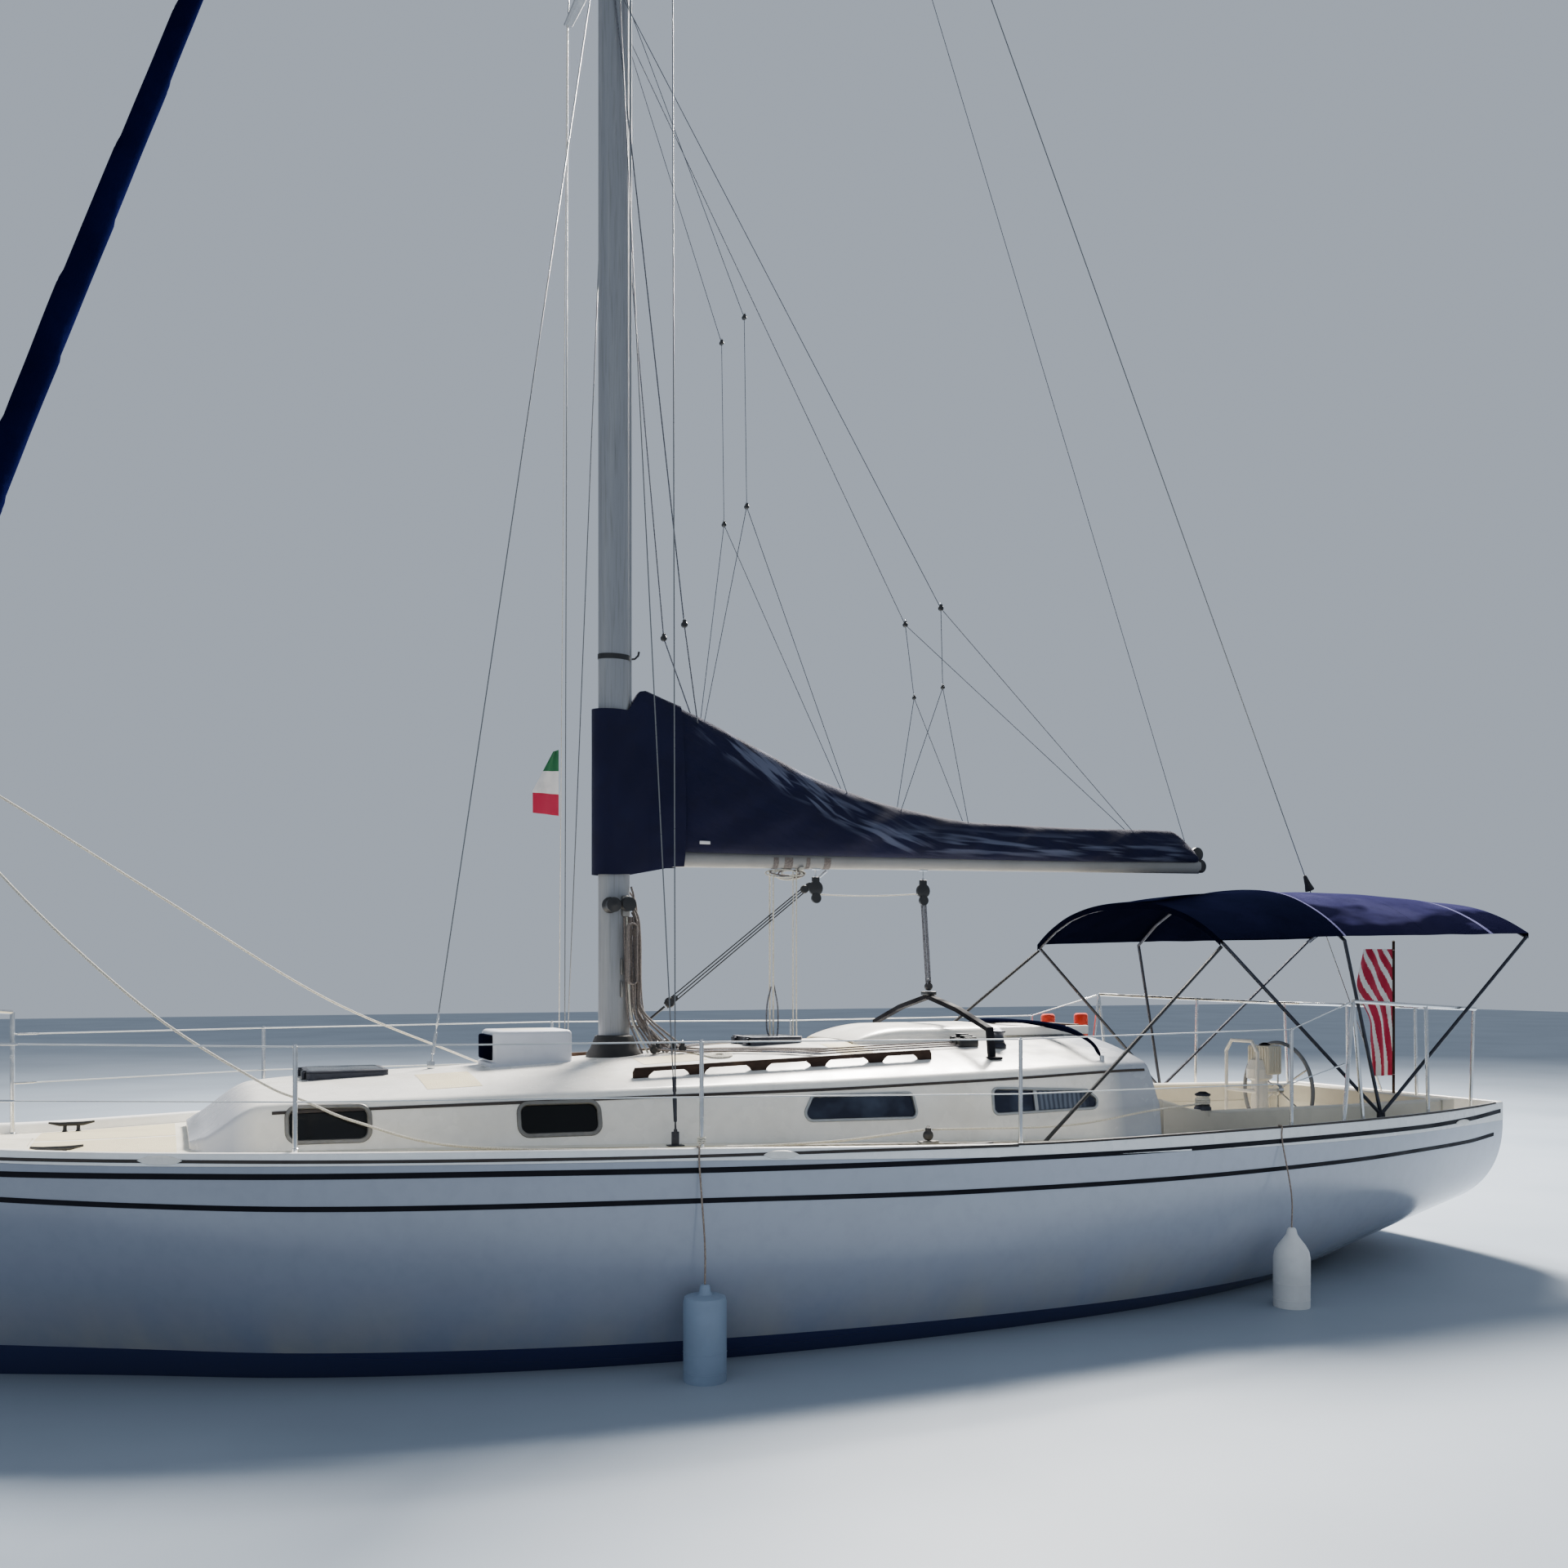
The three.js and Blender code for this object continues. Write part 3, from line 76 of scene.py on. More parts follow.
# Hull stations from the bow aft: x, half beam, deck edge, keel line, fullness, bilge, height of the rail
STATIONS = [
    (5.5, 0.03, 1.275, 1.19, 1.1, 1.0, 0.06),
    (5.25, 0.17, 1.244, 0.79, 1.15, 1.0, 0.063),
    (5.0, 0.305, 1.218, 0.43, 1.2, 1.05, 0.065),
    (4.7, 0.47, 1.19, 0.03, 1.3, 1.1, 0.065),
    (4.3, 0.68, 1.16, -0.19, 1.5, 1.2, 0.065),
    (3.7, 0.985, 1.149, -0.33, 1.8, 1.35, 0.065),
    (2.97, 1.29, 1.146, -0.44, 2.2, 1.55, 0.065),
    (2.0, 1.51, 1.132, -0.52, 2.6, 1.75, 0.065),
    (1.0, 1.635, 1.111, -0.56, 2.9, 1.9, 0.065),
    (0.0, 1.69, 1.075, -0.57, 3.0, 1.95, 0.068),
    (-1.0, 1.7, 1.037, -0.545, 2.95, 1.95, 0.076),
    (-2.0, 1.665, 1.01, -0.47, 2.8, 2.0, 0.102),
    (-3.0, 1.57, 0.99, -0.31, 2.6, 2.05, 0.121),
    (-3.8, 1.455, 0.983, -0.13, 2.45, 2.1, 0.128),
    (-4.5, 1.31, 0.984, 0.04, 2.35, 2.15, 0.128),
    (-5.1, 1.15, 0.989, 0.165, 2.3, 2.2, 0.128),
    (-5.5, 1.04, 0.993, 0.245, 2.3, 2.2, 0.138),
]
DECK_CAMBER = 0.032

# How far the painted skin stands off the solid hull, and the toe rail off the hull's beam
SKIN = 0.0015
RAIL_OUT = 0.0062

# Cabin stations: x, half width at the deck, half width at the roof edge, edge height, crown
ROOF = [
    (3.44, 0.64, 0.6, 1.212, 1.218),
    (3.37, 0.75, 0.72, 1.24, 1.285),
    (3.09, 0.85, 0.772, 1.402, 1.462),
    (2.6, 0.935, 0.85, 1.415, 1.497),
    (2.0, 1.025, 0.912, 1.424, 1.518),
    (1.5, 1.09, 0.96, 1.431, 1.542),
    (0.8, 1.15, 1.0, 1.438, 1.58),
    (0.0, 1.165, 1.022, 1.444, 1.625),
    (-0.6, 1.165, 1.036, 1.456, 1.648),
    (-1.26, 1.16, 1.048, 1.471, 1.662),
    (-2.27, 1.13, 1.05, 1.498, 1.671),
    (-2.345, 1.118, 1.09, 1.255, 1.3),
]


def rise(rows, i, j, k):
    return (rows[j][k] - rows[i][k]) / (rows[j][0] - rows[i][0])


def even_slope(rows, i, k):
    return rise(rows, max(i - 1, 0), min(i + 1, len(rows) - 1), k)


def calm_slope(rows, i, k):
    last = len(rows) - 1
    if i in (0, last):
        i = min(i, last - 1)
        return rise(rows, i, i + 1, k)
    one, two = rise(rows, i - 1, i, k), rise(rows, i, i + 1, k)
    return 0.0 if one * two <= 0 else 2 * one * two / (one + two)


def curve(rows, x, slope):
    """Values of a table's columns at x, by cubic pieces with a given slope at each row."""
    last = len(rows) - 1
    found = next((i for i, row in enumerate(rows) if row[0] <= x + 1e-9), last)
    i = min(max(found - 1, 0), last - 1)
    a, b = rows[i], rows[i + 1]
    span = b[0] - a[0]
    u = (x - a[0]) / span
    return [
        (2 * u**3 - 3 * u**2 + 1) * a[k] + (u**3 - 2 * u**2 + u) * (slope(rows, i, k) * span)
        + (3 * u**2 - 2 * u**3) * b[k] + (u**3 - u**2) * (slope(rows, i + 1, k) * span)
        for k in range(1, len(a))
    ]


def lookup(rows, x):
    """Smooth values of a table's columns at x."""
    return curve(rows, x, even_slope)


def steady(rows, x):
    """As lookup, but the curve never passes beyond the rows on either side of x."""
    return curve(rows, x, calm_slope)


def wobble(x, y, z):
    """Smooth random values in space, the same in every run."""
    return noise.noise(Vector((x, y, z)))


def spread(start, end, count):
    return [start + (end - start) * i / count for i in range(count + 1)]


def circle(count):
    """Cosine and sine of even steps round a circle."""
    return [(cos(2 * pi * k / count), sin(2 * pi * k / count)) for k in range(count)]


def hull_point(x, angle, out=0.0):
    """A point of the hull's port side, from the keel line at angle 0 to the deck edge at 90 degrees."""
    beam, sheer, keel, fullness, bilge, _ = lookup(STATIONS, x)
    y = (beam + out) * sin(angle) ** (2 / bilge)
    z = keel + (sheer - keel) * (1 - max(cos(angle), 0) ** (2 / fullness))
    return y, z


def hull_side(x, z):
    """Half breadth of the hull at a height."""
    beam, sheer, keel, fullness, bilge, _ = lookup(STATIONS, x)
    up = min(max((z - keel) / (sheer - keel), 0.0), 1.0)
    angle = math.acos(max(1 - up, 0.0) ** (fullness / 2))
    return beam * sin(angle) ** (2 / bilge)


def deck_z(x, y):
    beam, sheer = lookup(STATIONS, x)[:2]
    return sheer + beam * DECK_CAMBER * (1 - (y / beam) ** 2)


def rail_z(x):
    station = lookup(STATIONS, x)
    return station[1] + station[5]


def skin_y(x, z):
    """Half breadth of the boat's visible side, on the hull or on the toe rail."""
    beam, sheer = lookup(STATIONS, x)[:2]
    return beam + RAIL_OUT if z > sheer + 0.001 else hull_side(x, min(z, sheer)) + SKIN


def roof_z(x, y):
    _, edge, edge_z, crown = steady(ROOF, x)
    return edge_z + (crown - edge_z) * (1 - (y / edge) ** 2)


def cabin_side(x, z, out=0.0):
    """A point on the cabin's port side at x and z, moved out square to the side."""
    base, edge, edge_z, _ = steady(ROOF, x)
    run, climb = base - edge, edge_z - 1.0
    length = math.hypot(run, climb)
    y = base - run * (z - 1.0) / climb
    return Vector((x, y + out * climb / length, z + out * run / length))


def along(points):
    """Directions along a line of points, and a frame that doesn't twist."""
    count = len(points)
    tangents = []
    for i in range(count):
        ahead = points[min(i + 1, count - 1)] - points[max(i - 1, 0)]
        tangents.append(ahead.normalized())
    helper = Vector((0, 0, 1)) if abs(tangents[0].z) < 0.9 else Vector((1, 0, 0))
    across = tangents[0].cross(helper).normalized()
    frames = []
    for tangent in tangents:
        across = (across - tangent * across.dot(tangent)).normalized()
        frames.append((across, tangent.cross(across)))
    return frames


def smooth_line(points, per=8):
    """A smooth line through points."""
    points = [Vector(p) for p in points]
    line = []
    for i in range(len(points) - 1):
        a, b = points[i], points[i + 1]
        before = points[i - 1] if i else a * 2 - b
        after = points[i + 2] if i + 2 < len(points) else b * 2 - a
        for k in range(per):
            t = k / per
            line.append(0.5 * (
                2 * a + (b - before) * t + (2 * before - 5 * a + 4 * b - after) * t * t
                + (3 * a - before - 3 * b + after) * t**3
            ))
    line.append(points[-1])
    return line


def turned(centre, axis):
    """A placement at a centre that turns +Z to an axis."""
    turn = Vector((0, 0, 1)).rotation_difference(Vector(axis)).to_matrix().to_4x4()
    return Matrix.Translation(Vector(centre)) @ turn


def round_edges(shape, edges, bevel, rounds):
    bmesh.ops.bevel(shape, geom=edges, offset=bevel, segments=rounds, affect="EDGES", profile=0.5)


def disc(radius, low, high):
    """The profile of a plain disc, for lathe."""
    return [(0.0, low), (radius, low), (radius, high), (0.0, high)]


def standing(y):
    """A placement that stands an outline up in the plane of X and Z, at y."""
    return Matrix(((1, 0, 0, 0), (0, 0, -1, y), (0, 1, 0, 0), (0, 0, 0, 1)))


class Build:
    """Collects shapes into one mesh. A kind picks the material of each shape."""

    def __init__(self):
        self.verts = []
        self.faces = []
        self.kinds = []

    def add(self, verts, faces, kind=0):
        start = len(self.verts)
        self.verts += [tuple(v) for v in verts]
        self.faces += [tuple(start + i for i in face) for face in faces]
        self.kinds += [kind] * len(faces)
        return self

    def grid(self, rows, kind=0, wrap=False, caps=False):
        width = len(rows[0])
        verts = [p for row in rows for p in row]
        faces = []
        for i in range(len(rows) - 1):
            for j in range(width if wrap else width - 1):
                k = (j + 1) % width
                faces.append((i * width + j, i * width + k, (i + 1) * width + k, (i + 1) * width + j))
        if caps:
            faces.append(tuple(reversed(range(width))))
            faces.append(tuple(range((len(rows) - 1) * width, len(rows) * width)))
        return self.add(verts, faces, kind)

    def solid(self, rows, kind=0):
        """A closed form through rows of points that each run round it."""
        return self.grid(rows, kind, wrap=True, caps=True)

    def line(self, points, per, radius, sides=12, kind=0):
        """A round bar on a smooth line through points."""
        return self.tube(smooth_line(points, per), radius, sides, kind)

    def tube(self, points, radius, sides=12, kind=0):
        points = [Vector(p) for p in points]
        sizes = radius if isinstance(radius, (list, tuple)) else [radius] * len(points)
        rows = [
            [point + across * size * c + up * size * s for c, s in circle(sides)]
            for point, (across, up), size in zip(points, along(points), sizes)
        ]
        return self.solid(rows, kind)

    def ring(self, centre, axis, radius, thick, sides=32, kind=0):
        """A round bar bent into a full circle about an axis."""
        place = turned(centre, axis)
        rows = []
        for a in spread(0, 2 * pi, sides):
            row = []
            for c, s in circle(8):
                r = radius + thick * c
                row.append(place @ Vector((r * cos(a), r * sin(a), thick * s)))
            rows.append(row)
        return self.grid(rows, kind, wrap=True)

    def lathe(self, profile, centre=(0, 0, 0), axis=(0, 0, 1), sides=28, kind=0):
        place = turned(centre, axis)
        rows = [[place @ Vector((r * c, r * s, h)) for c, s in circle(sides)] for r, h in profile]
        return self.solid(rows, kind)

    def take(self, shape, kind):
        """Adds the faces of a bmesh, and frees it."""
        shape.verts.index_update()
        self.add([v.co.copy() for v in shape.verts], [[v.index for v in f.verts] for f in shape.faces], kind)
        shape.free()
        return self

    def block(self, low, high, bevel=0.0, kind=0, rounds=2):
        shape = bmesh.new()
        bmesh.ops.create_cube(shape, size=1)
        size = [abs(b - a) for a, b in zip(low, high)]
        middle = [(a + b) / 2 for a, b in zip(low, high)]
        bmesh.ops.scale(shape, vec=size, verts=shape.verts)
        if bevel:
            round_edges(shape, shape.edges[:], bevel, rounds)
        bmesh.ops.translate(shape, vec=middle, verts=shape.verts)
        return self.take(shape, kind)

    def plate(self, outline, place, depth, bevel=0.0, kind=0):
        """An outline of two numbers a point, thickened, with its edges rounded."""
        shape = bmesh.new()
        face = shape.faces.new([shape.verts.new((a, b, 0)) for a, b in outline])
        moved = bmesh.ops.extrude_face_region(shape, geom=[face])["geom"]
        far = [v for v in moved if isinstance(v, bmesh.types.BMVert)]
        bmesh.ops.translate(shape, vec=(0, 0, depth), verts=far)
        bmesh.ops.recalc_face_normals(shape, faces=shape.faces[:])
        if bevel:
            rims = [e for e in shape.edges if abs(e.verts[0].co.z - e.verts[1].co.z) < 1e-7]
            round_edges(shape, rims, bevel, 2)
        bmesh.ops.transform(shape, matrix=place, verts=shape.verts)
        return self.take(shape, kind)

    def make(self, name, looks, body="root", smooth=40, slot=None, replaces=(), weld=0.0, wall=0.0):
        mesh = bpy.data.meshes.new(name)
        mesh.from_pydata(self.verts, [], self.faces)
        for known in looks.split():
            mesh.materials.append(LOOKS[known])
        for face, kind in zip(mesh.polygons, self.kinds):
            face.material_index = kind
        edit_mesh(mesh)
        finish_faces(mesh, smooth)
        piece = bpy.data.objects.new(name, mesh)
        bpy.context.scene.collection.objects.link(piece)
        if weld:
            edit_mesh(mesh, weld)
        if wall:
            modifier = piece.modifiers.new("wall", "SOLIDIFY")
            modifier.thickness = wall
            modifier.offset = -1
            settle(piece, smooth)
        if body:
            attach(piece, body)
        if replaces:
            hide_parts(replaces)
        return piece


def edit_mesh(mesh, weld=0.0):
    """Joins points closer than weld, and turns all faces outward."""
    shape = bmesh.new()
    shape.from_mesh(mesh)
    if weld:
        bmesh.ops.remove_doubles(shape, verts=shape.verts[:], dist=weld)
    bmesh.ops.recalc_face_normals(shape, faces=shape.faces[:])
    shape.to_mesh(mesh)
    shape.free()


def finish_faces(mesh, smooth):
    for face in mesh.polygons:
        face.use_smooth = True
    mesh.set_sharp_from_angle(angle=math.radians(smooth))


def srgb(r, g, b):
    """Linear colour from the 0 to 255 numbers of a screen."""
    def linear(v):
        v /= 255
        return v / 12.92 if v <= 0.04045 else ((v + 0.055) / 1.055) ** 2.4
    return (linear(r), linear(g), linear(b), 1.0)


LOOKS = {}


class Look:
    """A material whose colour, roughness and relief come from nodes. Colours are 0 to 255."""

    def __init__(self, name, color, rough=0.5, metal=0.0, **sockets):
        self.material = bpy.data.materials.new(name)
        self.material.use_nodes = True
        self.tree = self.material.node_tree
        self.color = srgb(*color)
        self.shader = self.tree.nodes["Principled BSDF"]
        self.fill(self.shader, Base_Color=self.color, Roughness=rough, Metallic=metal, **sockets)
        self.coords = self.tree.nodes.new("ShaderNodeTexCoord").outputs["Object"]
        self.height = None
        LOOKS[name] = self.material

    def feed(self, socket, value):
        """Gives a socket a plain value or another node's output."""
        if isinstance(value, bpy.types.NodeSocket):
            self.tree.links.new(value, socket)
        else:
            socket.default_value = value

    def fill(self, node, **inputs):
        for name, value in inputs.items():
            self.feed(node.inputs[name.replace("_", " ")], value)
        return node

    def node(self, kind, **inputs):
        return self.fill(self.tree.nodes.new("ShaderNode" + kind), **inputs)

    def scaled(self, stretch):
        return self.node("Mapping", Scale=stretch, Vector=self.coords).outputs["Vector"]

    def noise(self, scale, detail=4.0, stretch=(1, 1, 1)):
        return self.node("TexNoise", Scale=scale, Detail=detail, Vector=self.scaled(stretch)).outputs["Fac"]

    def slanted(self, slope, length, width):
        """Streaks in the plane of X and Z, that climb towards +X by an angle."""
        mapping = self.node("Mapping", Rotation=(0, -slope, 0), Scale=(length, 1, width), Vector=self.coords)
        mapping.vector_type = "TEXTURE"
        return self.node("TexNoise", Scale=1.0, Detail=2.0, Vector=mapping.outputs["Vector"]).outputs["Fac"]

    def cells(self, scale, stretch=(1, 1, 1)):
        return self.node("TexVoronoi", Scale=scale, Vector=self.scaled(stretch)).outputs["Distance"]

    def waves(self, scale, axis, distortion=0.0):
        node = self.node("TexWave", Scale=scale, Distortion=distortion, Vector=self.scaled((1, 1, 1)))
        node.bands_direction = axis
        return node.outputs["Fac"]

    def axis(self, name):
        return self.node("SeparateXYZ", Vector=self.coords).outputs[name]

    def span(self, value, low, high, start=0.0, end=1.0):
        node = self.node("MapRange", From_Min=low, From_Max=high, To_Min=start, To_Max=end, Value=value)
        return node.outputs["Result"]

    def math(self, kind, a, b):
        node = self.node("Math")
        node.operation = kind
        self.feed(node.inputs[0], a)
        self.feed(node.inputs[1], b)
        return node.outputs["Value"]

    def times(self, a, b):
        return self.math("MULTIPLY", a, b)

    def tint(self, color, factor, *limits):
        """Mixes another colour in by a factor, or by a value mapped from limits."""
        node = self.node("Mix")
        node.data_type = "RGBA"
        share = self.span(factor, *limits) if limits else factor
        for socket, value in ((0, share), (6, self.color), (7, srgb(*color))):
            self.feed(node.inputs[socket], value)
        self.color = node.outputs[2]
        self.feed(self.shader.inputs["Base Color"], self.color)
        return self

    def rough(self, value, low, high):
        self.fill(self.shader, Roughness=self.span(value, 0.3, 0.7, low, high))
        return self

    def relief(self, value, depth):
        """Adds relief of a depth in metres."""
        node = self.node("Bump", Strength=1.0, Distance=depth, Height=value)
        if self.height:
            self.feed(node.inputs["Normal"], self.height)
        self.height = node.outputs["Normal"]
        self.fill(self.shader, Normal=self.height)
        return self


def paint(name, color, rough=0.35, dirt=(120, 112, 96), amount=0.25, **sockets):
    """Moulded or painted surface with faint dirt and uneven gloss."""
    look = Look(name, color, rough, **sockets)
    look.tint(dirt, look.noise(1.7, 6), 0.5, 0.8, 0.0, amount)
    look.tint([v * 0.9 for v in color], look.noise(14, 3), 0.45, 0.75, 0.0, 0.3)
    look.rough(look.noise(6, 5), rough * 0.8, rough * 1.3)
    return look.relief(look.noise(3.0, 2), 0.0006)


def cloth(name, color, faded, fade=0.4, thread=420.0, sheen=0.12, gloss=0.25):
    """Woven cloth with a soft sheen, worn lighter in places."""
    look = Look(name, color, 0.9, Sheen_Weight=sheen, Sheen_Roughness=0.5, Specular_IOR_Level=gloss)
    look.tint(faded, look.noise(2.2, 5), 0.42, 0.72, 0.0, fade)
    look.tint([v * 0.55 for v in color], look.noise(9, 4), 0.5, 0.8, 0.0, 0.35)
    look.relief(look.math("ADD", look.waves(thread, "X"), look.waves(thread, "Z")), 0.00025)
    return look.relief(look.noise(30, 3), 0.001)


def metal(name, color, rough=0.22, stretch=(1, 1, 1), tarnish=(90, 86, 78), amount=0.2):
    look = Look(name, color, rough, 1.0)
    look.tint(tarnish, look.noise(12, 5, stretch), 0.5, 0.8, 0.0, amount)
    look.rough(look.noise(25, 4, stretch), rough * 0.7, rough * 1.5)
    return look.relief(look.noise(180, 2, stretch), 0.00008)


def rope(name, color, fleck):
    """Braided line with flecks."""
    look = Look(name, color, 0.8, Sheen_Weight=0.2)
    look.tint(fleck, look.cells(160, (1, 1, 0.5)), 0.35, 0.5, 0.0, 0.7)
    return look.relief(look.waves(220, "DIAGONAL", 0.4), 0.0008)


def make_looks():
    topsides = paint("topsides", (206, 211, 220), 0.16, (150, 146, 132), 0.16, Coat_Weight=0.35)
    # Painted reflection and shade: the blue-grey topsides go darker and bluer towards the waterline and
    # towards the bow.
    topsides.tint((98, 108, 136), topsides.axis("Z"), 0.05, 1.0, 0.6, 0.05)
    topsides.tint((70, 82, 106), topsides.axis("X"), -5.2, 4.0, 0.06, 0.58)
    stain = topsides.times(topsides.span(topsides.axis("Z"), 0.15, 0.55, 1.0, 0.0),
                          topsides.span(topsides.noise(2.4, 6, (1, 1, 0.25)), 0.4, 0.7))
    topsides.tint((176, 170, 150), topsides.times(stain, 0.45))
    paint_line = topsides.math("SUBTRACT", topsides.axis("Z"), topsides.times(topsides.axis("X"), 0.014))
    topsides.tint((24, 30, 74), paint_line, 0.12, 0.1205, 1.0, 0.0)
    paint("gelcoat", (240, 237, 229), 0.25, (170, 158, 128), 0.3)
    cabin = paint("cabin_gelcoat", (238, 236, 230), 0.25, (168, 156, 128), 0.28)
    # Painted shade: the cabin's aft end is tinted blue-grey, and its sloped front face blue.
    cabin.tint((96, 114, 142), cabin.axis("X"), -2.06, -1.84, 0.68, 0.0)
    cabin.tint((132, 146, 178), cabin.axis("X"), 3.12, 3.24, 0.0, 0.5)
    paint("vent_gelcoat", (202, 206, 216), 0.4, (150, 150, 158), 0.3)
    # The rail's white is brighter than the hull's gelcoat: painted light on the toe rail.
    paint("rail_gelcoat", (250, 250, 248), 0.25, (180, 170, 146), 0.2)
    paint("cream_gelcoat", (226, 219, 200), 0.35, (150, 138, 110), 0.3)
    coaming = paint("coaming_gelcoat", (220, 214, 198), 0.35, (150, 138, 110), 0.3)
    # Painted shade: the coaming's outer sides are tinted dark forward of X -3.4.
    outer = coaming.span(coaming.math("ABSOLUTE", coaming.axis("Y"), 0.0), 1.08, 1.13)
    forward = coaming.span(coaming.axis("X"), -3.9, -3.4, 0.0, 0.72)
    coaming.tint((84, 84, 92), coaming.times(outer, forward))
    deck = paint("deck_gelcoat", (229, 224, 208), 0.4, (140, 130, 104), 0.4)
    deck.relief(deck.noise(60, 2), 0.0008)
    grip = paint("non_slip", (203, 192, 160), 0.75, (120, 110, 86), 0.4)
    grip.relief(grip.cells(190), 0.0016)
    paint("stripe_navy", (10, 10, 20), 0.5, (26, 26, 36), 0.3, Specular_IOR_Level=0.15)
    paint("dark_trim", (44, 36, 32), 0.55, (90, 80, 70), 0.3)
    paint("bottom_paint", (22, 28, 66), 0.8, (70, 86, 72), 0.4)

    spar = metal("spar_grey", (142, 144, 148), 0.42, (8, 8, 0.3), (90, 88, 86), 0.5)
    spar.shader.inputs["Metallic"].default_value = 0.35
    spar.tint((170, 170, 168), spar.noise(3, 4, (6, 6, 0.2)), 0.5, 0.7, 0.0, 0.4)
    # The boom is white; this mid grey is painted shade.
    paint("boom_white", (140, 139, 137), 0.5, (88, 84, 78), 0.45)
    paint("arch_black", (16, 16, 22), 0.8, (34, 34, 40), 0.4, Specular_IOR_Level=0.15)
    metal("stainless", (208, 210, 212), 0.2)
    metal("wire_rope", (120, 122, 124), 0.35, (1, 1, 4))
    metal("dark_tube", (62, 64, 72), 0.4)
    metal("grey_frame", (132, 130, 126), 0.45, (1, 1, 1), (80, 76, 70), 0.4)
    metal("light_frame", (176, 178, 178), 0.4)
    metal("bronze", (150, 112, 62), 0.4, (1, 1, 1), (70, 92, 74), 0.5)
    paint("black_plastic", (24, 24, 26), 0.45, (70, 68, 64), 0.3)
    paint("grey_leather", (128, 130, 134), 0.7, (84, 80, 78), 0.4)
    paint("rubber", (30, 30, 32), 0.8, (84, 80, 74), 0.3)
    paint("painted_iron", (86, 90, 96), 0.6, (90, 60, 40), 0.4)

    cloth("canvas_navy", (11, 14, 46), (22, 26, 62), 0.5, sheen=0.05)
    creased = cloth("canvas_creased", (11, 14, 46), (22, 26, 62), 0.5, sheen=0.05)
    luff = creased.math("ADD", creased.times(creased.axis("X"), 0.5), 3.36)
    above = creased.math("SUBTRACT", creased.axis("Z"), creased.math("MAXIMUM", luff, 2.93))
    # Lighter streaks along the creases in three bands: painted highlights.
    for slope, length, width, aft, front, low, high in (
        (0.7, 0.34, 0.04, -0.55, 0.4, 0.1, 0.3), (0.36, 0.5, 0.045, -1.2, -0.1, 0.06, 0.26),
        (0.04, 0.6, 0.045, -3.4, -0.95, 0.04, 0.16),
    ):
        x = creased.axis("X")
        part = creased.span(x, aft - 0.1, aft + 0.15)
        for share in (
            creased.span(x, front - 0.15, front + 0.1, 1.0, 0.0), creased.span(above, -0.06, 0.01),
            creased.span(above, low, high, 1.0, 0.0),
            creased.span(creased.slanted(slope, length, width), 0.49, 0.6), 0.6,
        ):
            part = creased.times(part, share)
        creased.tint((120, 126, 150), part)
    creased.relief(creased.slanted(0.45, 0.5, 0.06), 0.012)
    # A navy canvas darker than the cover's: partly the cloth's own navy, partly painted shade.
    cloth("canvas_front", (6, 8, 22), (12, 14, 34), 0.4, sheen=0.0, gloss=0.0)
    faded = cloth("canvas_faded", (40, 40, 70), (64, 64, 94), 0.6, sheen=0.0, gloss=0.0)
    # Painted shade: darker low down, where the canopy's edge turns down, with a wavy upper line.
    painted_shade_height = faded.math("ADD", faded.axis("Z"), faded.times(faded.slanted(-0.05, 0.55, 0.12), 0.5))
    faded.tint((8, 9, 26), painted_shade_height, 2.7, 2.78, 0.9, 0.0)
    cloth("seam_tape", (92, 92, 130), (118, 118, 150), 0.5, sheen=0.0, gloss=0.0)
    cloth("sail_strip", (9, 12, 46), (18, 22, 66), 0.5, sheen=0.0, gloss=0.0)
    cloth("red_cloth", (196, 44, 30), (222, 92, 62), 0.4, 300)
    cloth("flag_red", (178, 22, 58), (208, 70, 104), 0.4, 500)
    cloth("flag_white", (236, 234, 232), (206, 204, 206), 0.4, 500)
    cloth("flag_green", (30, 96, 60), (60, 128, 88), 0.4, 500)

    teak = Look("teak", (54, 38, 30), 0.7, Specular_IOR_Level=0.2)
    grain = teak.noise(22, 6, (0.12, 1, 1))
    teak.tint((38, 25, 18), grain, 0.4, 0.65, 0.0, 0.8)
    teak.tint((126, 100, 76), teak.noise(5, 5), 0.5, 0.8, 0.0, 0.35)
    teak.relief(grain, 0.0008)
    pale = Look("teak_weathered", (150, 128, 100), 0.7)
    pale.tint((104, 84, 62), pale.noise(24, 6, (0.12, 1, 1)), 0.4, 0.65, 0.0, 0.7)
    pale.relief(pale.noise(30, 6, (0.12, 1, 1)), 0.0008)

    glass = Look("smoked_glass", (6, 7, 9), 0.1, Specular_IOR_Level=0.2)
    glass.rough(glass.noise(8, 4), 0.1, 0.22)
    glass.tint((16, 18, 22), glass.noise(2.5, 3), 0.5, 0.75, 0.0, 0.35)
    blue = Look("blue_glass", (16, 22, 42), 0.09, Specular_IOR_Level=0.35)
    blue.rough(blue.noise(8, 4), 0.04, 0.12)
    x = blue.axis("X")
    lining = blue.times(blue.span(x, -1.43, -1.39, 1.0, 0.0), blue.span(x, -1.8, -1.7))
    drape = blue.span(blue.waves(9, "X", 1.5), 0.2, 0.8, 0.25, 0.6)
    blue.tint((120, 132, 150), blue.times(lining, drape))
    # Lighter blue-grey patches on the glass: painted reflection.
    blue.tint((72, 84, 106), blue.noise(3.5, 3), 0.5, 0.7, 0.0, 0.5)
    acrylic = Look("smoked_acrylic", (34, 38, 42), 0.2, Specular_IOR_Level=0.3)
    acrylic.tint((84, 88, 92), acrylic.noise(6, 4), 0.45, 0.7, 0.0, 0.4)
    acrylic.rough(acrylic.noise(12, 4), 0.08, 0.25)

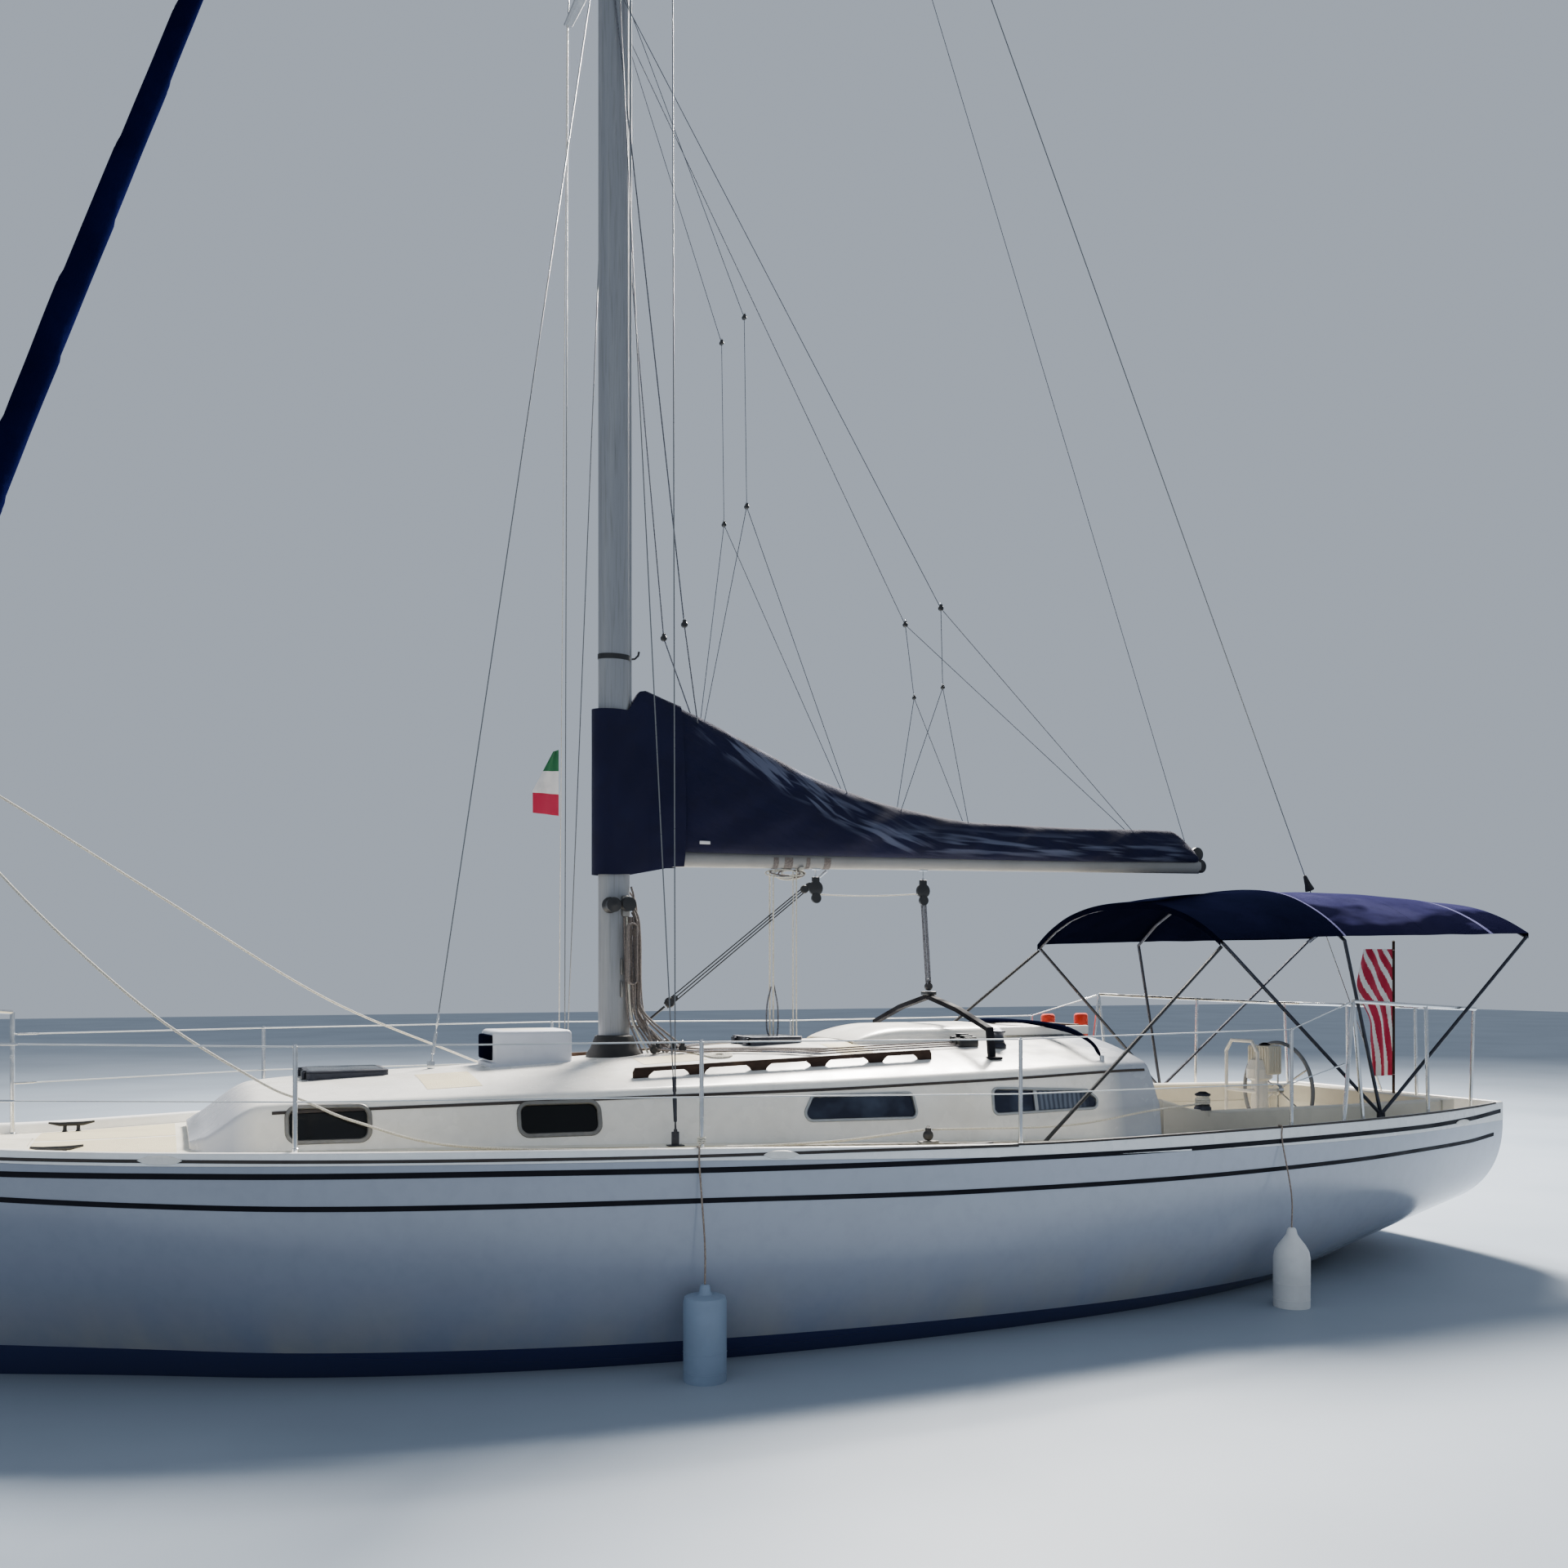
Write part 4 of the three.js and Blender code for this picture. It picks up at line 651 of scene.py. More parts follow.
    rope("rope_white", (222, 218, 206), (190, 184, 168))
    rope("rope_dark", (52, 54, 66), (120, 122, 130))
    rope("rope_red_fleck", (206, 200, 190), (150, 50, 44))
    rope("rope_tan", (176, 158, 138), (120, 100, 92))
    rope("rope_worn", (132, 122, 116), (88, 80, 78))
    paint("line_cover", (196, 202, 206), 0.5, (120, 116, 104), 0.4)
    paint("fender_vinyl", (226, 226, 224), 0.45, (140, 134, 116), 0.45)
    paint("fender_blue", (134, 152, 174), 0.45, (90, 100, 110), 0.4)


make_looks()


def dress(node, name):
    """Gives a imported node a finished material."""
    piece = nodes[node]
    piece.data.materials.clear()
    piece.data.materials.append(LOOKS[name])


# Hull
def make_hull():
    stations = spread(5.5, 4.5, 30) + spread(4.5, -5.5, 120)[1:]
    angles = [math.radians(90) * (1 - (1 - t) ** 1.15) for t in spread(0, 1, 44)]
    for side_name, side in SIDES.items():
        rows = []
        for x in stations:
            row = []
            for angle in angles:
                y, z = hull_point(x, angle, SKIN)
                row.append((x + (SKIN if x > 5.49 else 0), side * (y + 0.0008), z - 0.001))
            rows.append(row)
        skin = Build().grid(rows)
        stern = [(x - SKIN, y, z) for x, y, z in rows[-1]]
        middle = [(stern[0][0], 0.0, z) for _, _, z in stern]
        skin.grid([stern, middle])
        nose = rows[0]
        skin.grid([nose, [(nose[0][0], 0.0, z) for _, _, z in nose]])
        skin.make(f"hull_skin_{side_name}", "topsides", smooth=35, slot="gelcoat")
    dress("hull", "deck_gelcoat")


def strip(build, heights, stations, half, out, side):
    """A thin raised band along the hull, half its width on each side of a table's heights."""
    rows = []
    for x in stations:
        z = steady(heights, x)[0]
        rows.append([(x, side * (skin_y(x, z + dz) + lift), z + dz)
                     for dz, lift in ((-half, 0.0), (-half, out), (half, out), (half, 0.0))])
    build.solid(rows)


UPPER_STRIPE = [
    (5.49, 1.205), (4.22, 1.103), (3.2, 1.097), (2.07, 1.084), (0.82, 1.058), (-0.63, 1.034), (-2.42, 1.021),
    (-4.35, 1.021), (-5.0, 1.034), (-5.46, 1.062),
]
LOWER_STRIPE = [
    (5.45, 1.075), (4.27, 0.975), (2.98, 0.936), (1.02, 0.904), (-0.63, 0.862), (-2.42, 0.846), (-3.54, 0.85),
    (-4.35, 0.862), (-5.0, 0.871), (-5.37, 0.896),
]
RAIL_LINE = [
    (5.45, 1.3), (4.22, 1.178), (3.2, 1.17), (2.07, 1.153), (1.26, 1.139), (0.08, 1.124), (-0.9, 1.106),
]
RAIL_TRIM = [(-0.006, -0.006), (0.0025, -0.012), (0.0045, -0.004), (0.001, 0.0015), (-0.006, 0.002)]
CHOCKS = (3.58, 0.57, -4.9)


def make_stripes():
    for side_name, side in SIDES.items():
        band = Build()
        strip(band, UPPER_STRIPE, spread(5.46, -5.46, 150), 0.0145, 0.0028, side)
        strip(band, LOWER_STRIPE, spread(5.4, -5.37, 150), 0.0135, 0.0028, side)
        band.make(f"stripes_{side_name}", "stripe_navy")
        seam = Build()
        strip(seam, RAIL_LINE, spread(5.42, -0.88, 110), 0.0085, 0.0022, side)
        rows = []
        for x in spread(-0.88, -5.4, 90):
            top = rail_z(x)
            y = lookup(STATIONS, x)[0]
            rows.append([(x, side * (y + dy), top + dz) for dy, dz in RAIL_TRIM])
        seam.solid(rows)
        seam.make(f"rail_trim_{side_name}", "dark_trim")
        chocks = Build()
        for x in CHOCKS:
            station = lookup(STATIONS, x)
            z = station[1] + min(station[5] - 0.036, 0.028)
            rows = []
            for t in spread(-1, 1, 14):
                tall = 0.024 * max(1 - abs(t) ** 3, 0.02)
                beam, sheer = lookup(STATIONS, x + 0.1 * t)[:2]
                y, z0 = beam + RAIL_OUT, z + (sheer - station[1])
                rows.append([
                    (x + 0.1 * t, side * (y + out), z0 + tall * up)
                    for up, out in ((-1, -0.001), (-0.8, 0.007), (0, 0.01), (0.8, 0.007), (1, -0.001))
                ])
            chocks.solid(rows)
        chocks.make(f"rail_chocks_{side_name}", "gelcoat")


def make_toe_rail():
    rail = Build()
    for side in SIDES.values():
        rows = []
        for x in spread(5.5, 4.9, 24) + spread(4.9, -5.5, 110)[1:]:
            station = lookup(STATIONS, x)
            beam, sheer, h = station[0], station[1], station[5]
            outer = beam + 0.006
            inner = max(beam - 0.045, 0.0)
            wide = outer - inner
            profile = [(0.0, 0.0005), (1.0, 0.0005), (1.0, h - 0.026), (0.96, h - 0.013), (0.86, h - 0.004),
                       (0.7, h), (0.34, h), (0.18, h - 0.004), (0.09, h - 0.013), (0.05, h - 0.027),
                       (0.0, 0.012)]
            rows.append([(x, side * (inner + wide * u), sheer + dz) for u, dz in profile])
        rail.solid(rows)
    y, z = lookup(STATIONS, -5.5)[:2]
    rail.block((-5.5, -y - 0.004, z + 0.001), (-5.455, y + 0.004, rail_z(-5.5)), 0.012, rounds=4)
    rail.block((5.42, -0.05, 1.277), (5.505, 0.05, 1.335), 0.012)
    rail.make("toe_rail_moulding", "rail_gelcoat", slot="gelcoat", replaces="toe_rail")


make_hull()
make_stripes()
make_toe_rail()


def carve(piece, tool):
    """Cuts a closed shape out of a piece and drops it."""
    modifier = piece.modifiers.new("cut", "BOOLEAN")
    modifier.operation = "DIFFERENCE"
    modifier.solver = "EXACT"
    modifier.object = tool
    settle(piece)
    bpy.data.objects.remove(tool)


def settle(piece, smooth=40):
    """Turns a piece's modifiers into plain geometry."""
    bpy.context.view_layer.update()
    graph = bpy.context.evaluated_depsgraph_get()
    mesh = bpy.data.meshes.new_from_object(piece.evaluated_get(graph))
    piece.modifiers.clear()
    piece.data = mesh
    mesh.set_sharp_from_angle(angle=math.radians(smooth))


def corners(points, radius, steps=6, grow=0.0):
    """An outline's corners, moved out by grow and rounded."""
    count = len(points)
    points = [Vector(p) for p in points]
    area = sum(points[i].x * points[(i + 1) % count].y - points[(i + 1) % count].x * points[i].y
               for i in range(count))
    turn = 1 if area > 0 else -1
    lines = []
    for i in range(count):
        edge = (points[(i + 1) % count] - points[i]).normalized()
        normal = Vector((edge.y, -edge.x)) * turn
        lines.append((points[i] + normal * grow, edge))
    moved = []
    for i in range(count):
        (p, d), (q, e) = lines[i - 1], lines[i]
        scale = d.x * e.y - d.y * e.x
        t = ((q.x - p.x) * e.y - (q.y - p.y) * e.x) / scale
        moved.append(p + d * t)
    outline = []
    radii = radius if isinstance(radius, (list, tuple)) else [radius] * count
    for i in range(count):
        here, before, after = moved[i], moved[i - 1], moved[(i + 1) % count]
        a, b = (before - here).normalized(), (after - here).normalized()
        half = math.acos(max(-1, min(1, a.dot(b)))) / 2
        r = radii[i] + grow
        reach = r / math.tan(half)
        middle = here + (a + b).normalized() * (r / sin(half))
        start, end = here + a * reach - middle, here + b * reach - middle
        angle = math.atan2(start.x * end.y - start.y * end.x, start.dot(end))
        for k in range(steps + 1):
            s = angle * k / steps
            outline.append((
                middle.x + start.x * cos(s) - start.y * sin(s),
                middle.y + start.x * sin(s) + start.y * cos(s),
            ))
    return outline


WINDOWS = {
    1: [(2.97, 1.218), (2.97, 1.381), (2.58, 1.381), (2.58, 1.218)],
    2: [(1.797, 1.215), (1.797, 1.37), (1.377, 1.37), (1.377, 1.215)],
    3: [(0.183, 1.233), (0.1, 1.362), (-0.543, 1.358), (-0.56, 1.223)],
    4: [(-1.092, 1.221), (-1.104, 1.368), (-1.789, 1.335), (-1.913, 1.233)],
}
MULLION = [(-1.412, -0.006), (-1.412, 0.004), (-1.388, 0.004), (-1.388, -0.006)]
WINDOW_ROUND = {1: 0.045, 2: 0.045, 3: [0.035, 0.03, 0.03, 0.035], 4: [0.03, 0.03, 0.04, 0.035]}
HATCHES = {"foredeck_hatch": (2.38, 2.83, 0.225, 1.52), "midships_hatch": (-0.236, 0.128, 0.175, 1.658)}


def window_outline(number, grow=0.0):
    return corners(WINDOWS[number], WINDOW_ROUND[number], 6, grow)


def make_coachroof():
    stations = spread(3.44, 3.3, 10) + spread(3.3, 2.9, 16)[1:] + spread(2.9, -2.2, 70)[1:]
    stations += spread(-2.2, -2.345, 16)[1:]
    rows = []
    for x in stations:
        base, edge, edge_z, _ = steady(ROOF, x)
        rise = edge_z - 1.0
        fillet = min(0.032, rise * 0.3)
        levels = [1.0 + (rise - fillet) * t for t in spread(0, 1, 8)]
        side = [(base + (edge - base) * (z - 1.0) / rise, z) for z in levels]
        inner = edge - fillet * 1.2
        start, corner, end = Vector(side[-1]), Vector((edge, edge_z)), Vector((inner, roof_z(x, inner)))
        for t in (0.2, 0.4, 0.6, 0.8, 1.0):
            side.append(tuple(start * (1 - t) ** 2 + corner * (2 * t * (1 - t)) + end * t * t))
        side += [(inner * t, roof_z(x, inner * t)) for t in spread(1, 0, 12)[1:]]
        rows.append([(x, y, z) for y, z in side] + [(x, -y, z) for y, z in reversed(side[:-1])])
    shell = Build().grid(rows)
    width = len(rows[0])
    shell.add(rows[0], [tuple(range(width))])
    shell.add(rows[-1], [tuple(reversed(range(width)))])
    piece = shell.make("coachroof_moulding", "cabin_gelcoat", body=None, smooth=35, weld=1e-5, wall=0.028)
    tools = Build()
    for number in WINDOWS:
        outline = window_outline(number)
        for side in SIDES.values():
            tools.solid([[(x, side * y, z) for x, z in outline] for y in (0.5, 1.5)])
    tools.block((-2.4, -0.31, 1.105), (-1.62, 0.31, 1.8))
    inset = 0.035
    for aft, front, half, lid in HATCHES.values():
        tools.block((aft + inset, inset - half, lid - 0.2), (front - inset, half - inset, lid + 0.05), 0.02)
    carve(piece, tools.make("cutters", "cabin_gelcoat", body=None))
    finish_faces(piece.data, 35)
    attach(piece, "root")
    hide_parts("coachroof")

    edge = Build()
    for side in SIDES.values():
        rows = []
        for x in spread(3.05, -2.25, 90):
            edge_z = steady(ROOF, x)[2]
            section = ((-0.052, 0.0), (-0.052, 0.005), (-0.036, 0.005), (-0.036, 0.0))
            row = [cabin_side(x, edge_z + dz, out) for dz, out in section]
            rows.append([(p.x, side * p.y, p.z) for p in row])
        edge.solid(rows)
    edge.make("cabin_edge_trim", "dark_trim")


def make_window_frames():
    for number in WINDOWS:
        frame_look, glass, wide = (
            ("grey_frame", "smoked_glass", 0.02) if number in (1, 2) else ("light_frame", "blue_glass", 0.014)
        )
        for side_name, side in SIDES.items():
            frame_ring = Build()
            inner = window_outline(number, -0.004)
            outer = window_outline(number, wide)
            rows = []
            for (xi, zi), (xo, zo) in zip(inner, outer):
                row = []
                for t, out in ((0, -0.012), (0, 0.004), (0.2, 0.009), (0.85, 0.009), (1, 0.004), (1, -0.002)):
                    p = cabin_side(xi * (1 - t) + xo * t, zi * (1 - t) + zo * t, out)
                    row.append((p.x, side * p.y, p.z))
                rows.append(row)
            rows.append(rows[0])
            frame_ring.grid(rows, wrap=True)
            if number == 4:
                bar = [[cabin_side(x, z, out) for x, out in MULLION] for z in (1.222, 1.356)]
                frame_ring.solid([[(p.x, side * p.y, p.z) for p in row] for row in bar])
            frame_ring.make(f"window_frame_{side_name}_{number}", frame_look)
            dress(f"window_{side_name}_{number}", glass)


def make_hatches():
    for name, (aft, front, half, lid) in HATCHES.items():
        def square(inset, radius):
            a, b, c = aft + inset, front - inset, half - inset
            return corners([(a, -c), (b, -c), (b, c), (a, c)], radius)

        rim = Build()
        inner, outer = square(0.03, 0.03), square(0.0, 0.04)
        rows = []
        for (xi, yi), (xo, yo) in zip(inner, outer):
            rows.append([(xi, yi, lid - 0.09), (xi, yi, lid - 0.001), (xo, yo, lid - 0.001),
                         (xo, yo, lid - 0.012), (xo, yo, lid - 0.12)])
        rows.append(rows[0])
        rim.grid(rows, wrap=True)
        x = front + 0.004
        for y in (-half * 0.6, half * 0.6):
            rim.block((x, y - 0.03, lid - 0.05), (x + 0.018, y + 0.03, lid + 0.004), 0.003)
        rim.make(f"{name}_frame", "dark_tube")
        pane = Build()
        edge_ring = square(0.026, 0.03)
        rows = []
        for (xi, yi), (xo, yo) in zip(edge_ring, outer):
            rows.append([(xi, yi, lid + 0.001), (xo, yo, lid + 0.001), (xo, yo, lid + 0.011),
                         (xi, yi, lid + 0.014)])
        rows.append(rows[0])
        pane.grid(rows, wrap=True)
        pane.plate(edge_ring, Matrix.Translation((0, 0, lid + 0.002)), 0.011, 0.001, kind=1)
        for y in (-half * 0.6, half * 0.6):
            pane.block((front - 0.012, y - 0.02, lid + 0.003), (front + 0.016, y + 0.02, lid + 0.014), 0.002)
            pane.block((aft + 0.02, y - 0.012, lid - 0.02), (aft + 0.05, y + 0.012, lid + 0.002), 0.003, 2)
        pane.make(f"{name}_pane", "dark_tube smoked_acrylic black_plastic", body=name, slot="smoked",
                  replaces=f"{name}_lid")


def make_sea_hood():
    hood = Build()
    rows = []
    for x in spread(-0.5, -0.9, 16) + spread(-0.9, -1.585, 12)[1:]:
        t = min(max((-0.5 - x) / 0.4, 0.0), 1.0)
        lift = sin(t * pi / 2) ** 0.8
        half = 0.36 + 0.04 * lift
        foot = roof_z(x, half) - 0.004
        top = roof_z(x, 0) + 0.004 + (1.736 - roof_z(x, 0) - 0.004) * lift
        row = []
        for a in spread(0, 1, 24):
            angle = pi * a
            c, s = cos(angle), sin(angle)
            y = half * abs(c) ** 0.45 * (1 if c > 0 else -1)
            z = foot + (top - foot) * s ** 0.42
            row.append((x, y, z))
        rows.append(row)
    hood.grid(rows)
    hood.make("sea_hood_moulding", "gelcoat", smooth=45, wall=0.018, slot="gelcoat", replaces="sea_hood")
    rails = Build()
    for side in SIDES.values():
        rails.block((-2.315, side * 0.3305, 1.655), (-1.57, side * 0.364, 1.716), 0.008)
    rails.make("slide_rails", "gelcoat")
    slide = Build()
    slide.block((-2.315, -0.33, 1.677), (-1.66, 0.33, 1.707), 0.01, 0)
    slide.block((-2.3, -0.28, 1.7065), (-2.265, 0.28, 1.722), 0.006, 1)
    slide.make("companionway_slide_top", "gelcoat teak", body="slide", slot="gelcoat",
               replaces="companionway_slide")
    dress("companionway_boards", "teak")


MAST_X = 0.985
PIN_X, GOOSENECK_Z, VANG_PIN_Z = 0.78, 2.8, 1.77


def make_mast():
    spar = Build()
    turn = circle(40)
    spar.grid([[(MAST_X + 0.1 * c, 0.065 * s, z) for c, s in turn] for z in spread(1.56, 14.4, 80)],
              wrap=True, caps=True)
    spar.block((0.872, -0.012, 3.75), (0.889, 0.012, 14.3), 0.003, 0)
    spar.block((0.78, -0.016, 2.775), (0.897, 0.016, 2.825), 0.004, 1)
    spar.lathe([(0.016, -0.026), (0.016, 0.026)], (PIN_X, 0, GOOSENECK_Z), kind=1)
    spar.lathe([(0.01, -0.052), (0.01, 0.052)], (PIN_X, 0, GOOSENECK_Z), kind=1)
    spar.block((0.78, -0.014, 1.736), (0.897, 0.014, 1.75), 0.003, 1)
    spar.lathe([(0.008, -0.034), (0.008, 0.024)], (PIN_X, 0, VANG_PIN_Z), kind=1)
    collar = [(0.118, 0.0), (0.118, 0.012), (0.109, 0.03), (0.104, 0.09), (0.104, 0.11)]
    spar.lathe(collar, (MAST_X, 0, 1.565), kind=2)
    crane = [(1.17, 14.37), (1.17, 14.4), (1.04, 14.45), (0.84, 14.45), (0.79, 14.41), (0.79, 14.37)]
    spar.plate(crane, standing(0.035), 0.07, 0.006, 0)
    winch = [(0.05, 0.0), (0.05, 0.014), (0.04, 0.03), (0.037, 0.07), (0.046, 0.092), (0.046, 0.1),
             (0.016, 0.104), (0.01, 0.108)]
    spar.lathe(winch, (1.03, 0.056, 2.5), ACROSS, kind=2)
    spar.block((0.905, 0.03, 2.43), (0.955, 0.082, 2.56), 0.01, 1)
    spar.lathe([(0.044, 0.0), (0.044, 0.012), (0.034, 0.022), (0.034, 0.055), (0.044, 0.066), (0.01, 0.07)],
               (0.928, 0.08, 2.505), ACROSS, kind=2)
    spar.lathe(winch, (MAST_X, -0.058, 2.15), (0, -1, 0), kind=2)
    ring = []
    for z, grow in ((4.03, 0.0), (4.03, 0.004), (4.062, 0.004), (4.062, 0.0)):
        ring.append([(MAST_X + (0.1 + grow) * c, (0.065 + grow) * s, z) for c, s in turn])
    spar.grid(ring, 2, wrap=True)
    spar.tube([(0.886, 0, 4.044), (0.85, 0, 4.05), (0.828, 0, 4.072), (0.822, 0, 4.098)], 0.007, 10, 2)
    for y, z in ((0.068, 1.98), (0.068, 2.12), (-0.068, 2.0)):
        spar.block((0.95, y - 0.008, z - 0.05), (0.965, y + 0.012, z + 0.05), 0.004, 1)
    spar.make("mast_spar", "spar_grey grey_frame black_plastic", slot="spar", replaces="mast")
    dress("spreaders", "spar_grey")


COVER = [
    (0.854, 2.858, 3.83, 0.03), (0.84, 2.858, 3.84, 0.05), (0.78, 2.858, 3.846, 0.076),
    (0.63, 2.851, 3.79, 0.1), (0.41, 2.848, 3.707, 0.126), (-0.02, 2.849, 3.522, 0.14),
    (-0.408, 2.852, 3.359, 0.136), (-1.02, 2.858, 3.2, 0.12), (-1.663, 2.865, 3.123, 0.104),
    (-2.42, 2.876, 3.118, 0.092), (-3.281, 2.896, 3.132, 0.08), (-3.5, 2.9, 3.000, 0.062),
    (-3.53, 2.905, 2.965, 0.05),
]
COVER_SHAPE = [(0.0, 0.62), (0.06, 0.8), (0.16, 0.92), (0.34, 1.0), (0.5, 0.9), (0.62, 0.76), (0.78, 0.56),
               (0.88, 0.42), (0.95, 0.28), (1.0, 0.1)]


def shape_at(rows, t):
    for (a, va), (b, vb) in zip(rows, rows[1:]):
        if t <= b:
            u = (t - a) / (b - a)
            return va + (vb - va) * u
    return rows[-1][1]


def make_sail_cover():
    cover = Build()
    stations = spread(0.6, -3.45, 190) + spread(-3.45, -3.53, 6)[1:]
    rows = []
    for x in stations:
        bottom, top, half = steady(COVER, x)
        height = top - bottom
        row = []
        for side in (1, -1):
            points = []
            for t in spread(0, 1, 30):
                wide = half * shape_at(COVER_SHAPE, t)
                z = bottom + height * t
                fold = sin(9.0 * (x + 1.35 * t * height) + 2.2 * wobble(x * 1.2, side * 3, z * 2))
                sweep = sin(26.0 * (x * 0.62 + z * 0.9) + 3.0 * wobble(x * 0.9, side * 5.0, z))
                soft = wobble(x * 2.3, side * 2.0, z * 3.1)
                ends = min(1.0, (0.62 - x) * 4.0, (x + 3.54) * 5.0)
                belly = sin(pi * min(t * 1.05, 1.0))
                wide += ends * belly * (0.01 * fold + 0.006 * sweep + 0.016 * soft)
                points.append((x, side * max(wide, 0.006), z))
            row += points if side == 1 else list(reversed(points))
        rows.append(row)
    cover.solid(rows)
    piece = cover.make("boom_cover_cloth", "canvas_creased", body="boom", smooth=80, slot="canvas",
                       replaces="boom_cover")

    tag = Build()
    x, z = 0.42, 2.905
    wide = steady(COVER, x)[2] * shape_at(COVER_SHAPE, 0.07)
    tag.block((x - 0.035, wide + 0.002, z - 0.01), (x + 0.035, wide + 0.0075, z + 0.01), 0.0015)
    tag.make("cover_tag", "flag_white", body="boom")


COLLAR_FRONT, COLLAR_AFT, COLLAR_REACH, COLLAR_HALF = 0.999, 0.55, 0.128, 0.084
COLLAR_TOP = [(0.0, 3.716), (0.09, 3.716), (0.175, 3.846), (0.215, 3.853), (0.37, 3.797), (0.46, 3.766)]
COLLAR_BOTTOM = [(0.0, 2.69), (0.12, 2.696), (0.38, 2.748), (0.46, 2.752)]


def make_mast_cover():
    """The part of the cover that wraps the mast and laps over the boom's cover."""
    run = [(x, None) for x in spread(COLLAR_AFT, COLLAR_FRONT, 44)]
    run += [(None, a) for a in spread(90, -90, 36)[1:-1]]
    run += [(x, "far") for x in spread(COLLAR_FRONT, COLLAR_AFT, 44)]
    rows = []
    for x, where in run:
        row = []
        for v in spread(0, 1, 60):
            if x is None:
                turn = math.radians(where)
                px = COLLAR_FRONT + COLLAR_REACH * cos(turn)
                y = COLLAR_HALF * sin(turn)
                side = 1 if where > 0 else -1
                pull = 1.0
            else:
                side = -1 if where else 1
                px = x
                t = min((COLLAR_FRONT - x) / 0.2, 1.0)
                t = t * t * (3 - 2 * t)
                lap = steady(COVER, min(x, 0.78))[2] * shape_at(COVER_SHAPE, v) + 0.013
                y = side * (COLLAR_HALF * (1 - t) + lap * t)
                pull = min((x - COLLAR_AFT) / 0.1, 1.0)
            behind = max(COLLAR_FRONT - px, 0.0)
            bottom, top = shape_at(COLLAR_BOTTOM, behind), shape_at(COLLAR_TOP, behind)
            z = bottom + (top - bottom) * v
            crease = 0.006 * sin(14 * (z + 1.6 * px)) + 0.01 * wobble(px * 5, side * 2.0, z * 2.2)
            crease *= pull * sin(pi * min(max(v, 0.02), 0.98))
            y += side * crease * (1 if x is not None else abs(y) / COLLAR_HALF)
            row.append((px, y, z))
        rows.append(row)
    collar = Build().grid(rows)
    ridge = [i for i, (x, _) in enumerate(run[:45]) if x < 0.885]
    collar.grid([[rows[i][-1] for i in ridge], [rows[len(rows) - 1 - i][-1] for i in ridge]])
    piece = collar.make("mast_cover_cloth", "canvas_navy", body=None, smooth=80, slot="canvas",
                        replaces="mast_cover", weld=1e-6)
    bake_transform(piece)


def make_boom():
    boom = Build()
    rows = []
    for x in spread(-0.055, -4.34, 60):
        t = (x + 0.06) / (-4.28)
        middle = 0.004 + 0.071 * t
        rows.append([(PIN_X + x, 0.04 * c, GOOSENECK_Z + middle + 0.055 * s) for c, s in circle(24)])
    boom.solid(rows)
    for z in (2.7535, 2.8315):
        boom.block((0.704, -0.028, z), (0.804, 0.028, z + 0.015), 0.005, 1)
    boom.block((0.7, -0.04, 2.753), (0.75, 0.04, 2.847), 0.006, 1)
    boom.lathe([(0.05, -0.022), (0.05, -0.012), (0.042, 0), (0.05, 0.012), (0.05, 0.022)], (-3.57, 0, 2.875),
               (0, 1, 0), kind=2)
    boom.block((-3.585, -0.034, 2.83), (-3.545, 0.034, 2.925), 0.008, 2)
    boom.block((-3.57, -0.006, 2.9), (-3.5, 0.006, 3.0), 0.003, 1)
    boom.lathe([(0.0, -0.02), (0.036, -0.02), (0.052, -0.012), (0.052, 0.012), (0.036, 0.02), (0.0, 0.02)],
               (-3.548, 0, 2.965), ACROSS, kind=2)
    boom.make("boom_spar", "boom_white grey_frame black_plastic", body="boom", slot="boom_white",
              replaces="boom")
    dress("vang", "black_plastic")


FORESTAY = Vector((5.42, 0, 1.357)), Vector((1.15, 0, 14.38))


def make_headsail():
    foot, head = FORESTAY
    axis = (head - foot).normalized()
    across = axis.cross(Vector(ACROSS)).normalized()
    side = axis.cross(across)
    length = (head - foot).length
    profile = [(0.46, 0.012), (0.48, 0.04), (0.9, 0.066), (1.7, 0.075), (3.2, 0.076), (4.6, 0.074),
               (5.6, 0.065), (6.6, 0.055), (8.2, 0.048), (10.8, 0.038), (length - 0.58, 0.028),
               (length - 0.545, 0.012)]
    ahead = [(0.0, 0.0), (0.6, 0.01), (1.9, 0.04), (3.8, 0.052), (4.6, 0.044), (6.6, 0.012), (9.0, 0.0),
             (length, 0.0)]
    roll = Build()
    rows = []
    for h in spread(0.46, length - 0.545, 320):
        radius = shape_at(profile, h)
        row = []
        for k, (c, s) in enumerate(circle(24)):
            lap = (k / 24 + h / 0.85) % 1.0
            r = radius * (0.93 + 0.1 * lap) + 0.002 * wobble(h * 3, c * 2, s * 2)
            row.append(foot + axis * h + across * (r * c - shape_at(ahead, h)) + side * (r * s))
        rows.append(row)
    roll.solid(rows)
    piece = roll.make("furled_headsail_roll", "sail_strip", smooth=70, slot="canvas",
                      replaces="furled_headsail")
    dress("forestay", "stainless")


CANVAS_THICKNESS = 0.0016
CANOPY = [
    (-2.85, 2.59, 2.305, 1.08), (-3.3, 2.665, 2.318, 1.11), (-3.88, 2.705, 2.335, 1.13),
    (-4.6, 2.712, 2.35, 1.13), (-5.2, 2.69, 2.362, 1.12), (-5.7, 2.64, 2.375, 1.1),
]


def canopy_z(x, part):
    crest, edge, _ = steady(CANOPY, x)
    return edge + (crest - edge) * (1 - abs(part) ** 2.6)


